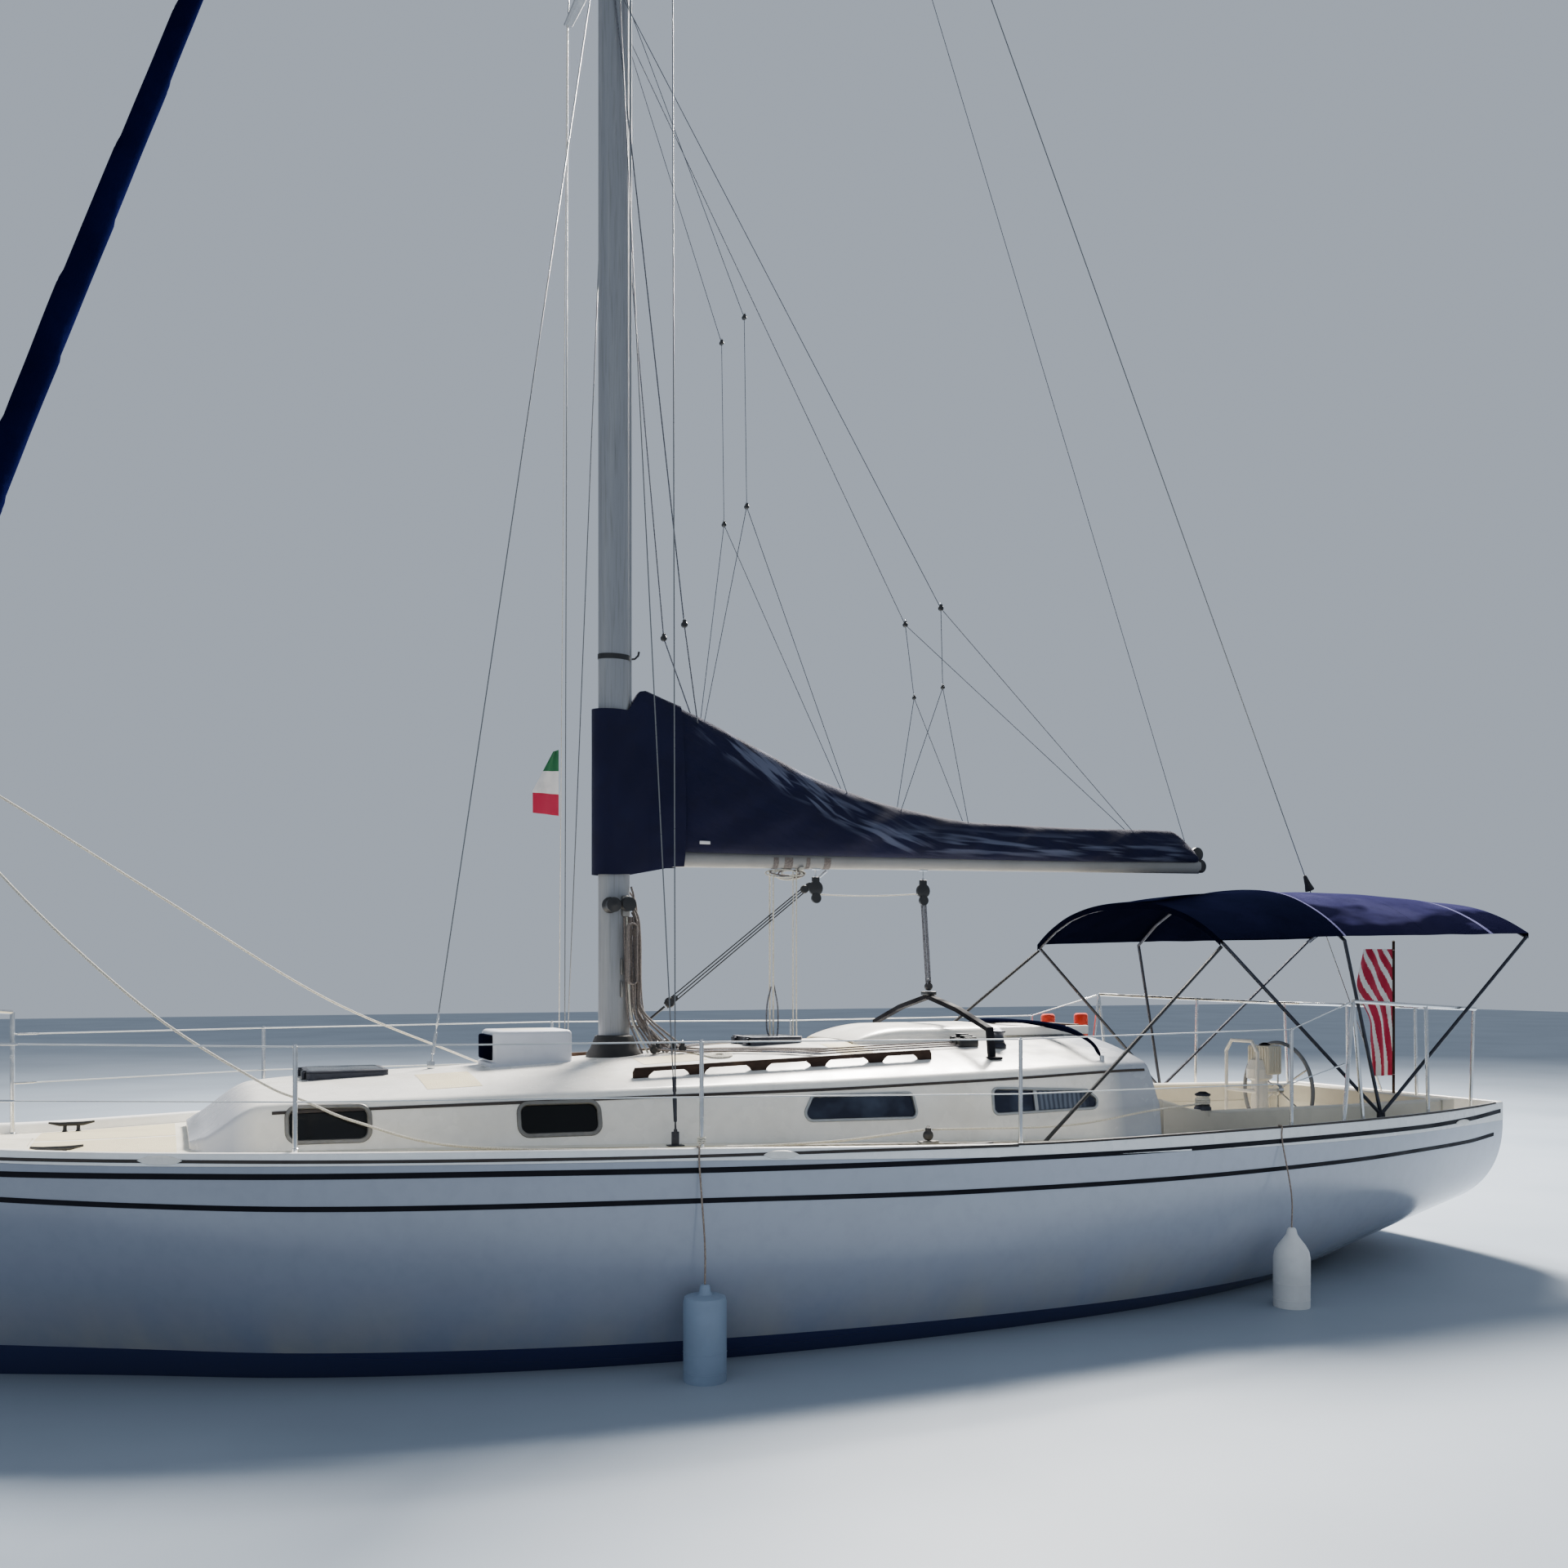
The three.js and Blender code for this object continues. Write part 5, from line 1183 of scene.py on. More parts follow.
def make_bimini():
    for name, ends in (("fore", (-2.85, -4.655)), ("aft", (-4.665, -5.7))):
        rows = []
        hem = [(x, dz) for x, dz in ((-2.8505, 0.044), (-2.8502, 0.024), (-5.6998, 0.024), (-5.6995, 0.04))
               if ends[1] - 0.001 < x < ends[0] + 0.001]
        for x in spread(ends[0], ends[1], 100):
            half = steady(CANOPY, x)[2]
            row = []
            for part in spread(-1, 1, 80):
                sag = 0.0
                for bow in (-2.875, -3.88, -5.672):
                    sag = max(sag, math.exp(-((x - bow) / 0.1) ** 2))
                z = canopy_z(x, part) - 0.003 - 0.016 * (1 - sag) * (1 - abs(part) ** 3)
                z += 0.004 * wobble(x * 4, part * 5, 0)
                row.append((x, half * part, z))
            rows.append(row)
        slit, way = (rows[-1], -1) if name == "fore" else (rows[0], 1)
        slit[:] = [(x + way * 0.0044 * (1 - math.exp(-(y / 0.04) ** 2)), y, z) for x, y, z in slit]
        if name == "fore":
            rows = [[(x, p[1], p[2] - dz) for p in rows[0]] for x, dz in hem] + rows
        else:
            rows += [[(x, p[1], p[2] - dz) for p in rows[-1]] for x, dz in hem]
        sheet = Build().grid(rows)
        piece = sheet.make(f"bimini_sheet_{name}", "canvas_front canvas_faded seam_tape", smooth=60,
                           wall=CANVAS_THICKNESS, slot="canvas", replaces=f"bimini_canopy_{name}")
        # The fore panel and all downward faces take the near-black canvas; on the underside it is painted
        # shade.
        for face in piece.data.polygons:
            x = face.center.x
            taped = abs(x + 3.885) < 0.014 or abs(x + 5.3) < 0.014
            face.material_index = 0 if face.normal.z < 0.05 or x > -3.87 else 2 if taped else 1
    dress("bimini_frame", "dark_tube")
    for side_name in SIDES:
        dress(f"bimini_strut_{side_name}", "black_plastic")


def between(a, b, t):
    return Vector(a) + (Vector(b) - Vector(a)) * t


def sagging(a, b, sag=0.0, count=12):
    """Points from a to b, hanging below the straight line by a sag."""
    return [between(a, b, t) - Vector((0, 0, 4 * sag * t * (1 - t))) for t in spread(0, 1, count)]


def block_sheave(build, centre, size, kinds):
    """A rigging block: a round body with a strap and a ring above it."""
    x, y, z = centre
    build.lathe([(0.0, -0.016), (size * 0.7, -0.016), (size, -0.009), (size, 0.009), (size * 0.7, 0.016),
                 (0.0, 0.016)], centre, ACROSS, 18, kinds[0])
    build.block((x - size * 0.5, y - 0.013, z), (x + size * 0.5, y + 0.013, z + size * 1.5), 0.004, kinds[0])
    build.ring((x, y, z + size * 1.6), ACROSS, 0.008, 0.0025, 14, kinds[1])


# Standing rigging
STAY = 0.0038
SHROUD_FOOT = (0.99, 1.18, 1.195)
SPREADER_TIP = (MAST_X, 1.1126, 8.66)


def turnbuckle(build, foot, head):
    """A screw with two forks at the lower end of a wire."""
    profile = [(0.0, 0.0), (0.009, 0.0), (0.009, 0.03), (0.0045, 0.035), (0.0045, 0.07), (0.0095, 0.075),
               (0.0095, 0.2), (0.0045, 0.205), (0.0045, 0.235), (0.0075, 0.24), (0.0065, 0.31), (0.004, 0.32)]
    build.lathe(profile, foot, (head - foot).normalized(), 12, 1)


def make_shrouds():
    for side_name, side in SIDES.items():
        wires = Build()
        x, y, z = SHROUD_FOOT
        for line in (
            [(x, y, z), SPREADER_TIP, (MAST_X, 0.058, 14.34)], [(x - 0.004, y, z), (MAST_X, 0.06, 8.51)],
        ):
            line = [Vector((a, side * b, c)) for a, b, c in line]
            wires.tube(line, STAY, 8)
            turnbuckle(wires, line[0], line[1])
        deck = deck_z(x, y)
        wires.block((0.968, side * y - 0.005, 1.07), (1.012, side * y + 0.005, 1.214), 0.003, 1)
        wires.block((0.945, side * y - 0.03, deck + 0.0005), (1.035, side * y + 0.03, deck + 0.006), 0.002, 1)
        wires.make(f"shroud_wires_{side_name}", "wire_rope dark_tube", slot="stainless",
                   replaces=f"shrouds_{side_name}")
    stay = Build()
    foot, head = Vector((-5.425, 0, 1.07)), Vector((0.815, 0, 14.372))
    stay.tube([foot, head], STAY, 8)
    turnbuckle(stay, foot, head)
    lean = [(-5.453, 1.002), (-5.447, 1.002), (-5.409, 1.09), (-5.437, 1.09), (-5.453, 1.062)]
    stay.plate(lean, standing(0.009), 0.018, 0.002, 1)
    up = (head - foot).normalized()
    boot = foot + up * ((2.722 - foot.z) / up.z)
    stay.lathe([(0.0, 0.0), (0.036, 0.0), (0.034, 0.012), (0.024, 0.05), (0.014, 0.115), (0.008, 0.125),
                (0.0, 0.125)], boot, up, 24, 2)
    stay.make("backstay_wire", "wire_rope stainless rubber", slot="stainless", replaces="backstay")
    baby = Build()
    foot, head = Vector((2.11, 0, 1.53)), Vector((1.08, 0, 8.52))
    baby.tube([foot, head], STAY, 8)
    turnbuckle(baby, foot, head)
    baby.block((2.088, -0.009, roof_z(2.11, 0) - 0.01), (2.132, 0.009, 1.56), 0.003, 1)
    baby.make("baby_stay_wire", "wire_rope stainless", slot="stainless", replaces="baby_stay")


# Guard rails
RAIL_FEET = [(4.35, 0.585), (-3.56, 1.425), (-3.8, 1.395), (-4.55, 1.235), (-5.3, 0.925), (-5.4, 0.35)]
STANCHIONS = [(2.97, 1.224, 1.735), (0.98, 1.57, 1.735), (-0.94, 1.633, 1.715), (-3.07, 1.495, 1.73)]


def make_lifelines():
    for side_name, side in SIDES.items():
        line = Build()
        for x, y, top in STANCHIONS:
            base = deck_z(x, y)
            post = [(0.0, 0.0), (0.034, 0.0), (0.034, 0.005), (0.017, 0.009), (0.0155, 0.075), (0.012, 0.078)]
            post = [(r, base + h) for r, h in post] + [(0.0115, top - 0.01), (0.008, top - 0.001), (0.0, top)]
            line.lathe(post, (x, side * y, 0), sides=20)
            for z in (top - 0.012, (top + base) / 2 + 0.01):
                line.ring((x, side * y, z), UP, 0.0125, 0.003, 16, 0)
        ends = (Vector((4.336, side * 0.587, 1.735)), Vector((-3.662, side * 1.405, 1.885)))
        low_ends = (Vector((4.348, side * 0.589, 1.455)), Vector((-3.6, side * 1.419, 1.48)))
        upper = [ends[0]] + [Vector((x, side * y, top - 0.012)) for x, y, top in STANCHIONS] + [ends[1]]
        lower = [low_ends[0]]
        lower += [Vector((x, side * y, (top + deck_z(x, y)) / 2 + 0.01)) for x, y, top in STANCHIONS]
        lower.append(low_ends[1])
        for points, radius in ((upper, 0.0042), (lower, 0.0036)):
            line.tube(points, radius, 8, 1)
            for a, b in ((points[0], points[1]), (points[-1], points[-2])):
                way = (b - a).normalized()
                line.lathe([(0.0, 0.01), (0.0065, 0.012), (0.0065, 0.11), (0.004, 0.13)], a, way, 10, 0)
        line.make(f"lifeline_wires_{side_name}", "stainless line_cover", slot="stainless",
                  replaces=f"lifelines_{side_name}")
    for node in ("pulpit", "pushpit"):
        dress(node, "stainless")
    feet = Build()
    for side in SIDES.values():
        for x, y in RAIL_FEET:
            base = deck_z(x, y)
            feet.lathe([(0.0, base - 0.002), (0.036, base), (0.036, base + 0.005), (0.0145, base + 0.012),
                        (0.0145, base + 0.03), (0.0, base + 0.03)], (x, side * y, 0), sides=20)
    feet.make("rail_feet", "stainless")


# Deck
def deck_patch(build, outline_x, low_y, high_y, side):
    """A patch on the deck between two lines y(x), lifted a little, with its rim closed."""
    rows = []
    for x in outline_x:
        a, b = low_y(x), high_y(x)
        row = [(x, side * y, deck_z(x, y) + 0.0012) for y in spread(a, b, 6)]
        row = [(x, side * a, deck_z(x, a) - 0.001)] + row + [(x, side * b, deck_z(x, b) - 0.001)]
        rows.append(row)
    build.grid(rows)


TRACK_Y, LEAD_X = 1.34, -0.5


def inside_rail(x):
    return lookup(STATIONS, x)[0] - 0.13


def make_deck_pads():
    pads = Build()
    for side in SIDES.values():
        for start, end in ((3.2, 1.15), (1.05, -0.3), (-0.4, -2.2)):
            deck_patch(pads, spread(start, end, 24), lambda x: max(steady(ROOF, x)[0] + 0.06, 0.1),
                       lambda x: inside_rail(x) - 0.04, side)
        deck_patch(pads, spread(4.2, 3.5, 14), lambda x: 0.03, inside_rail, side)
        deck_patch(pads, spread(-2.5, -3.4, 14), lambda x: 1.16, inside_rail, side)
        for start, end, wide in ((2.25, 1.95, 0.72), (0.95, 0.55, 0.5), (-0.3, -0.52, 0.62)):
            rows = []
            for x in spread(start, end, 8):
                line = [(x, side * y, roof_z(x, y) + 0.0015) for y in spread(0.28, wide, 6)]
                (_, y1, z1), (_, y2, z2) = line[0], line[-1]
                rows.append([(x, y1, z1 - 0.003)] + line + [(x, y2, z2 - 0.003)])
            pads.grid(rows)
    pads.make("non_slip_pads", "non_slip", slot="deck")


def make_deck_gear():
    """Genoa tracks with their lead blocks, and the mooring cleats."""
    gear = Build()
    for side in SIDES.values():
        gear.solid([
            [(x, side * (TRACK_Y + dy), deck_z(x, TRACK_Y) + dz)
             for dy, dz in ((-0.016, 0.0), (-0.016, 0.022), (0.016, 0.022), (0.016, 0.0))]
            for x in spread(0.75, -1.95, 40)
        ])
        y, z = side * TRACK_Y, deck_z(LEAD_X, TRACK_Y)
        gear.block((LEAD_X - 0.06, y - 0.024, z + 0.004), (LEAD_X + 0.06, y + 0.024, z + 0.034), 0.004)
        block_sheave(gear, (LEAD_X, y, z + 0.065), 0.03, (1, 0))
        for x, y in ((4.05, 0.62), (-0.67, 1.575), (-5.18, 0.97)):
            base = deck_z(x, y)
            for dx in (-0.035, 0.035):
                gear.lathe([(0.018, 0.0), (0.011, 0.012), (0.01, 0.04)], (x + dx, side * y, base), kind=1)
            gear.tube([(x - 0.12, side * y, base + 0.056), (x - 0.06, side * y, base + 0.046),
                       (x + 0.06, side * y, base + 0.046), (x + 0.12, side * y, base + 0.056)],
                      [0.006, 0.012, 0.012, 0.006], 12, 1)
    gear.make("deck_tracks_and_cleats", "grey_frame black_plastic")


WINCH_X, WINCH_Y = -2.72, 1.06


def make_winches():
    drums = Build()
    profile = [(0.056, 0.0), (0.056, 0.016), (0.046, 0.028), (0.04, 0.05), (0.038, 0.075), (0.042, 0.09),
               (0.051, 0.098), (0.051, 0.106), (0.03, 0.116), (0.022, 0.1215), (0.0, 0.1215)]
    spots = [(WINCH_X, side * WINCH_Y, 1.176) for side in SIDES.values()]
    spots += [(-1.42, side * 0.62, roof_z(-1.42, 0.62) - 0.002) for side in SIDES.values()]
    for x, y, z in spots:
        drums.lathe(profile, (x, y, z), sides=28, kind=0)
        drums.lathe([(0.0475, 0.03), (0.0475, 0.034), (0.043, 0.036)], (x, y, z), sides=28, kind=1)
    for side in SIDES.values():
        for k in range(3):
            x, y = -1.22, side * (0.48 + 0.05 * k)
            z = roof_z(x, y)
            drums.block((x - 0.07, y - 0.02, z - 0.002), (x + 0.07, y + 0.02, z + 0.045), 0.006, 1)
            drums.block((x - 0.06, y - 0.01, z + 0.04), (x + 0.03, y + 0.01, z + 0.062), 0.004, 1)
    drums.make("winch_drums", "dark_tube black_plastic")


def make_vent_box():
    box = Build()
    low = roof_z(1.803, 0.19) - 0.004
    box.block((1.3, -0.189, low - 0.01), (1.775, 0.189, 1.739), 0.028, 0, rounds=5)
    box.block((1.295, -0.1895, low - 0.012), (1.795, 0.1895, low + 0.03), 0.006, 0)
    box.block((1.745, -0.15, low + 0.045), (1.801, 0.15, 1.712), 0.014, 1, rounds=4)
    box.tube([(1.66, y, z) for y, z in ((-0.09, 1.736), (-0.07, 1.739), (0.07, 1.739), (0.09, 1.736))],
             0.0009, 8, 2)
    box.block((1.4, -0.12, 1.7385), (1.7, 0.12, 1.7398), 0.0005, 3)
    box.make("ventilation_housing", "vent_gelcoat canvas_front black_plastic cream_gelcoat",
             slot="gelcoat", replaces="ventilation_box")


def make_handrails():
    front, aft, y, feet, half, under, top = 1.107, -0.834, 0.78, 6, 0.045, 0.032, 0.058
    reach = (aft - front) / (feet - 1)
    for side_name, side in SIDES.items():
        rail = Build()
        outline = []
        for i in range(feet):
            inward = {0: -half, feet - 1: half}.get(i, 0.0)
            middle = front + reach * i + inward
            right = [(middle + half + 0.034 * (1 - sin(a * pi / 2)), under * (1 - a) - 0.004 * a)
                     for a in spread(0, 1, 6)]
            left = [(2 * middle - x, z) for x, z in reversed(right)]
            for dx, dz in right + left:
                x = min(max(dx, aft + 0.001), front - 0.001)
                outline.append((x, roof_z(x, y) + dz))
        outline += [(x, roof_z(x, y) + top) for x in spread(aft + 0.014, front - 0.014, 24)]
        cleaned = [outline[0]]
        for p in outline[1:]:
            if (Vector(p) - Vector(cleaned[-1])).length > 0.0008:
                cleaned.append(p)
        rail.plate(cleaned, standing(side * y + 0.0135), 0.027, 0.004)
        rail.make(f"handrail_bar_{side_name}", "teak", slot="teak", replaces=f"handrail_{side_name}")


def make_traveller():
    arch = Build()
    points = [(0.845, 1.455), (0.8, 1.735), (0.4, 1.855), (0.0, 1.935)]
    outline = points + [(-y, z) for y, z in reversed(points[:-1])]
    rows = []
    line = [Vector((0, y, z)) for y, z in outline]
    for i, p in enumerate(line):
        ahead = line[min(i + 1, len(line) - 1)] - line[max(i - 1, 0)]
        normal = Vector((0, ahead.z, -ahead.y)).normalized()
        if normal.z < 0 and i in (1, 2, 3, 4, 5):
            normal = -normal
        if i in (0, 6):
            normal = Vector((0, math.copysign(1, p.y), 0))
        low = p - normal * 0.033
        rows.append([(-1.277, low.y, low.z), (-1.277, p.y - normal.y * 0.003, p.z - normal.z * 0.003),
                     (-1.27, p.y, p.z), (-1.238, p.y, p.z),
                     (-1.231, p.y - normal.y * 0.003, p.z - normal.z * 0.003), (-1.231, low.y, low.z)])
    arch.solid(rows)
    for side in SIDES.values():
        z = roof_z(-1.254, 0.845)
        arch.block((-1.3, side * 0.84 - 0.035, z - 0.004), (-1.21, side * 0.84 + 0.035, z + 0.012), 0.004, 0)
    arch.make("traveller_beam", "arch_black", slot="black", replaces="traveller_arch")
    car = Build()
    car.block((-1.29, -0.05, 1.926), (-1.218, 0.05, 1.952), 0.006, 0)
    block_sheave(car, (-1.253, 0.0, 1.985), 0.028, (0, 1))
    car.make("mainsheet_car", "black_plastic stainless")


def make_companionway_gear():
    roll = Build()
    half = [(-1.98, 0.97, 1.535), (-1.97, 0.86, 1.635), (-1.965, 0.55, 1.712)]
    line = smooth_line(half + [(-1.96, 0.0, 1.738)] + [(x, -y, z) for x, y, z in reversed(half)], 10)
    rows = []
    count = len(line)
    for i, (p, (across, up)) in enumerate(zip(line, along(line))):
        t = i / (count - 1)
        slim = min(max((abs(p.y) - 0.55) / 0.3, 0.0), 1.0)
        thick = (0.025 - 0.013 * slim) * min(1.0, 14 * t + 0.25, 14 * (1 - t) + 0.25)
        row = []
        flat = 0.45 + 0.35 * min(abs(p.y) / 0.5, 1.0)
        for k, (c, s) in enumerate(circle(20)):
            lumps = 0.16 * sin(6 * pi * k / 20 + 9 * t) + 0.12 * wobble(t * 14, c, s)
            r = thick * (1 + lumps)
            row.append(p + across * (r * c) * 1.25 + up * (r * s) * flat)
        rows.append(row)
    roll.solid(rows)
    cloth_roll = roll.make("folded_dodger", "canvas_front", smooth=80, slot="canvas")
    hoops = Build()
    for side in SIDES.values():
        hoops.lathe([(0.0, -0.03), (0.016, -0.03), (0.016, 0.0), (0.01, 0.01), (0.0, 0.01)],
                    (-1.98, side * 0.975, 1.54), sides=16)
    hoops.make("dodger_feet", "stainless")


WHEEL_X, WHEEL_Z = -4.33, 1.17


def make_cockpit_looks():
    for node, name, slot in (
        ("cockpit_coaming", "coaming_gelcoat", "gelcoat"), ("pedestal", "gelcoat", "gelcoat"),
        ("steering_wheel", "stainless", "stainless"), ("anchor_locker_lid", "deck_gelcoat", "deck"),
        ("locker_lid_port", "non_slip", "deck"), ("locker_lid_starboard", "non_slip", "deck"),
        ("keel", "bottom_paint", "bottom_paint"), ("rudder", "bottom_paint", "bottom_paint"),
        ("propeller", "bronze", "bronze"), ("propeller_shaft", "stainless", "stainless"),
        ("engine", "painted_iron", "iron"), ("stem_fitting", "stainless", "stainless"),
        ("flag_staff", "teak", "teak"),
    ):
        dress(node, name)

    inside = Build()
    floor = 0.3815
    for k in range(11):
        y = -0.33 + 0.066 * k
        inside.block((-4.85, y - 0.026, floor), (-4.4, y + 0.026, floor + 0.012), 0.002, 0)
        inside.block((-3.85, y - 0.026, floor), (-2.85, y + 0.026, floor + 0.012), 0.002, 0)
    for x in spread(-2.95, -3.75, 4) + [-4.5, -4.75]:
        inside.block((x - 0.02, -0.345, floor - 0.0005), (x + 0.02, 0.345, floor + 0.006), 0.001, 0)
    inside.make("teak_grating", "teak_weathered")

    dials = Build()
    for y in (-0.055, 0.055):
        for z in (1.36, 1.455):
            dials.lathe([(0.0, 0.0), (0.036, 0.0), (0.036, 0.006), (0.03, 0.008), (0.0, 0.007)],
                        (-4.265, y, z), (-1, 0, 0), 24, 1)
    dials.lathe([(0.0, 1.519), (0.044, 1.519), (0.042, 1.53), (0.024, 1.54), (0.0, 1.543)], (-4.2, 0, 0),
                sides=32)
    dials.make("compass_and_dials", "smoked_glass black_plastic")

    pod = Build()
    pod.block((-4.266, -0.112, 1.3), (-4.13, 0.112, 1.52), 0.012, 0, rounds=3)
    for y in spread(-0.09, 0.09, 6):
        pod.block((-4.132, y - 0.008, 1.315), (-4.124, y + 0.008, 1.505), 0.002, 0)
    for x in spread(-4.25, -4.146, 4):
        for side in SIDES.values():
            y = side * 0.113
            pod.block((x - 0.008, y - 0.004, 1.315), (x + 0.008, y + 0.004, 1.505), 0.002, 0)
    pod.make("instrument_pod", "cream_gelcoat")

    tape = Build()
    for angle in range(6):
        a = pi / 3 * angle
        tape.lathe([(0.0075, 0.0), (0.0075, 0.26)], (WHEEL_X, 0.06 * sin(a), WHEEL_Z + 0.06 * cos(a)),
                   (0, sin(a), cos(a)), 10)
    tape.make("wheel_spoke_sleeves", "stainless", body="steering_wheel")
    grip_ring = Build()
    grip_ring.ring((WHEEL_X, 0, WHEEL_Z), (1, 0, 0), 0.366, 0.0152, 72)
    grip_ring.make("wheel_leather", "grey_leather", body="steering_wheel")


# Soft goods and dressing
def squared(c, s):
    """How far a point of a circle moves out to make it a rounded square."""
    return (abs(c) ** 2.6 + abs(s) ** 2.6) ** (-1 / 2.6)


def make_buoy():
    """Horseshoe buoy on the starboard pushpit, with its cloth cover and a tape round each arm."""
    place = Matrix.Translation((-3.33, -1.398, 1.49)) @ Matrix.Rotation(0.15, 4, "Z")
    middle, half = 0.185, 0.063
    arm = 0.245
    line = [(-middle, arm), (-middle, arm - 0.008), (-middle, arm - 0.02), (-middle, 0.12)]
    line += [(-middle * cos(a), -middle * sin(a)) for a in spread(0, pi, 20)]
    line += [(middle, 0.12), (middle, arm - 0.02), (middle, arm - 0.008), (middle, arm)]
    points = [Vector((x, 0, z)) for x, z in line]
    shape = Build()
    rows = []
    count = len(points)
    travelled = 0.0
    for i, (p, (across, up)) in enumerate(zip(points, along(points))):
        if i:
            travelled += (points[i] - points[i - 1]).length
        ends = min(1.0, 0.68 + 0.2 * i, 0.68 + 0.2 * (count - 1 - i))
        crease = 1 - 0.05 * abs(sin(travelled * 26)) ** 6
        row = []
        for c, s in circle(20):
            r = half * ends * crease * squared(c, s)
            row.append(place @ (p + across * (r * c * 0.66) + up * (r * s)))
        rows.append(row)
    shape.solid(rows)
    piece = shape.make("buoy_cover", "red_cloth", smooth=70, slot="red", replaces="horseshoe_buoy")
    strap = Build()
    for x in (-middle, middle):
        rows = []
        for c, s in circle(16) + [(1.0, 0.0)]:
            flat = squared(c, s)
            dx, dy = 0.0655 * s * flat, 0.0455 * c * flat
            rows.append([place @ Vector((x + dx, dy, h)) for h in (-0.014, 0.014)])
        strap.grid(rows)
    strap.make("buoy_straps", "rope_white")


def make_fenders():
    for node, x, dark in (("fender_midships", 1.02, True), ("fender_quarter", -2.9, False)):
        beam = lookup(STATIONS, x)[0]
        y = beam + 0.096
        over = rail_z(x) + 0.0036
        shape = Build()
        if dark:
            shoulder = [(0.1118, 0.405), (0.105, 0.428), (0.086, 0.436), (0.04, 0.44), (0.03, 0.452)]
        else:
            shoulder = [(0.1118, 0.3), (0.104, 0.345), (0.082, 0.385), (0.056, 0.418), (0.036, 0.446)]
        profile = [(0.0, -0.19), (0.03, -0.186), (0.07, -0.168), (0.1, -0.13), (0.1105, -0.09), (0.1118, 0.2)]
        profile += shoulder + [(0.026, 0.482), (0.018, 0.4905), (0.0, 0.4915)]
        shape.lathe(profile, (x, y, 0), sides=40, kind=0)
        for h in (-0.05, 0.05, 0.15):
            shape.ring((x, y, h), UP, 0.1118, 0.0016, 40, 0)
        shape.ring((x, y, 0.474), (1, 0, 0), 0.012, 0.004, 20, 1)
        line = smooth_line([(x, y, 0.48), (x, y - 0.002, 0.7), (x, beam + 0.0155, over - 0.1),
                            (x, beam + 0.0135, over - 0.012), (x, beam + 0.002, over + 0.0018),
                            (x, beam - 0.019, over + 0.0022)], 8)
        shape.tube(line, 0.0048, 10, 1)
        shape.make(f"{node}_body", "fender_blue rope_tan" if dark else "fender_vinyl rope_tan", slot="fender",
                   replaces=node)
        tail = Build()
        post_x, post_y, _ = STANCHIONS[1] if dark else STANCHIONS[3]
        base = deck_z(post_x, post_y)
        tail.line([(x, beam - 0.019, over + 0.0022), (x + (post_x - x) * 0.4, beam - 0.05, over - 0.02),
                   (post_x, post_y + 0.019, base + 0.1)], 8, 0.0046, 10)
        for k in range(3):
            tail.ring((post_x, post_y, base + 0.085 + 0.011 * k), UP, 0.0195, 0.0046, 20)
        tail.make(f"{node}_line", "rope_white")


def make_ensign():
    top, bottom, hoist_x, y0, fly, down, out = 2.262, 1.268, -5.323, 0.18, 0.376, 78, 60
    rows = []
    for v in spread(0, 1, down):
        low_part = min(max((v - 0.3) / 0.3, 0.0), 1.0)
        gather = (0.8 + 0.2 * min(1.0, 4 * v)) * (1 - 0.36 * low_part**2 * (3 - 2 * low_part))
        row = []
        for u in spread(0, 1, out):
            sway = sin(u * 13.0 + 1.5 * v) * 0.0125 * min(1, 4 * u) * (0.5 + 0.5 * v)
            row.append((hoist_x + fly * u * gather, y0 + sway, top - (top - bottom) * v))
        rows.append(row)
    piece = Build().grid(rows).make("ensign_cloth", "flag_red flag_white", smooth=80, slot="flag",
                                    replaces="ensign")
    for face in piece.data.polygons:
        i, j = divmod(face.index, out)
        u, v = (j + 0.5) / out, (i + 0.5) / down
        slant = 2.1 * min(v, 0.42) + 0.35 * max(v - 0.42, 0.0)
        stripe = (u + slant + 0.05 * sin(9 * v)) * 2.8
        face.material_index = int(stripe % 1 > 0.6)
    ties = Build()
    staff_x = -5.335
    for z in (2.255, 1.275):
        ties.ring((staff_x, y0, z), UP, 0.0125, 0.0018, 16)
    ties.lathe([(0.0, 2.325), (0.0108, 2.325), (0.014, 2.3285), (0.0, 2.3299)], (staff_x, y0, 0), sides=16)
    ties.make("ensign_ties", "rope_white")


def make_courtesy_flag():
    low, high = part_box("courtesy_flag")
    down, out = 40, 30
    rows = []
    for v in spread(0, 1, down):
        row = []
        for u in spread(0, 1, out):
            wide = 0.012 + (high[0] - low[0] - 0.016) * (0.22 + 0.78 * min(1.0, 1.55 * v)) * u
            z = high[2] - 0.01 - (high[2] - low[2] - 0.05) * v + 0.03 * u * (v - 0.5)
            y = (low[1] + high[1]) / 2 + 0.0062 * sin(u * 9 + 3 * v) * min(1, 3 * u)
            row.append((low[0] + 0.001 + wide, y, z))
        rows.append(row)
    piece = Build().grid(rows).make("courtesy_flag_cloth", "flag_green flag_white flag_red", smooth=80,
                                    slot="flag", replaces="courtesy_flag")
    for face in piece.data.polygons:
        face.material_index = min(2, int((face.index // out + 0.5) / down * 3))
    halyard = Build()
    halyard.tube([(1.0353, -1.173, deck_z(1.03, 1.173) + 0.004), (1.003, -1.062, 8.64)], 0.0026, 8)
    halyard.make("halyard_line", "rope_white", slot="rope", replaces="flag_halyard")


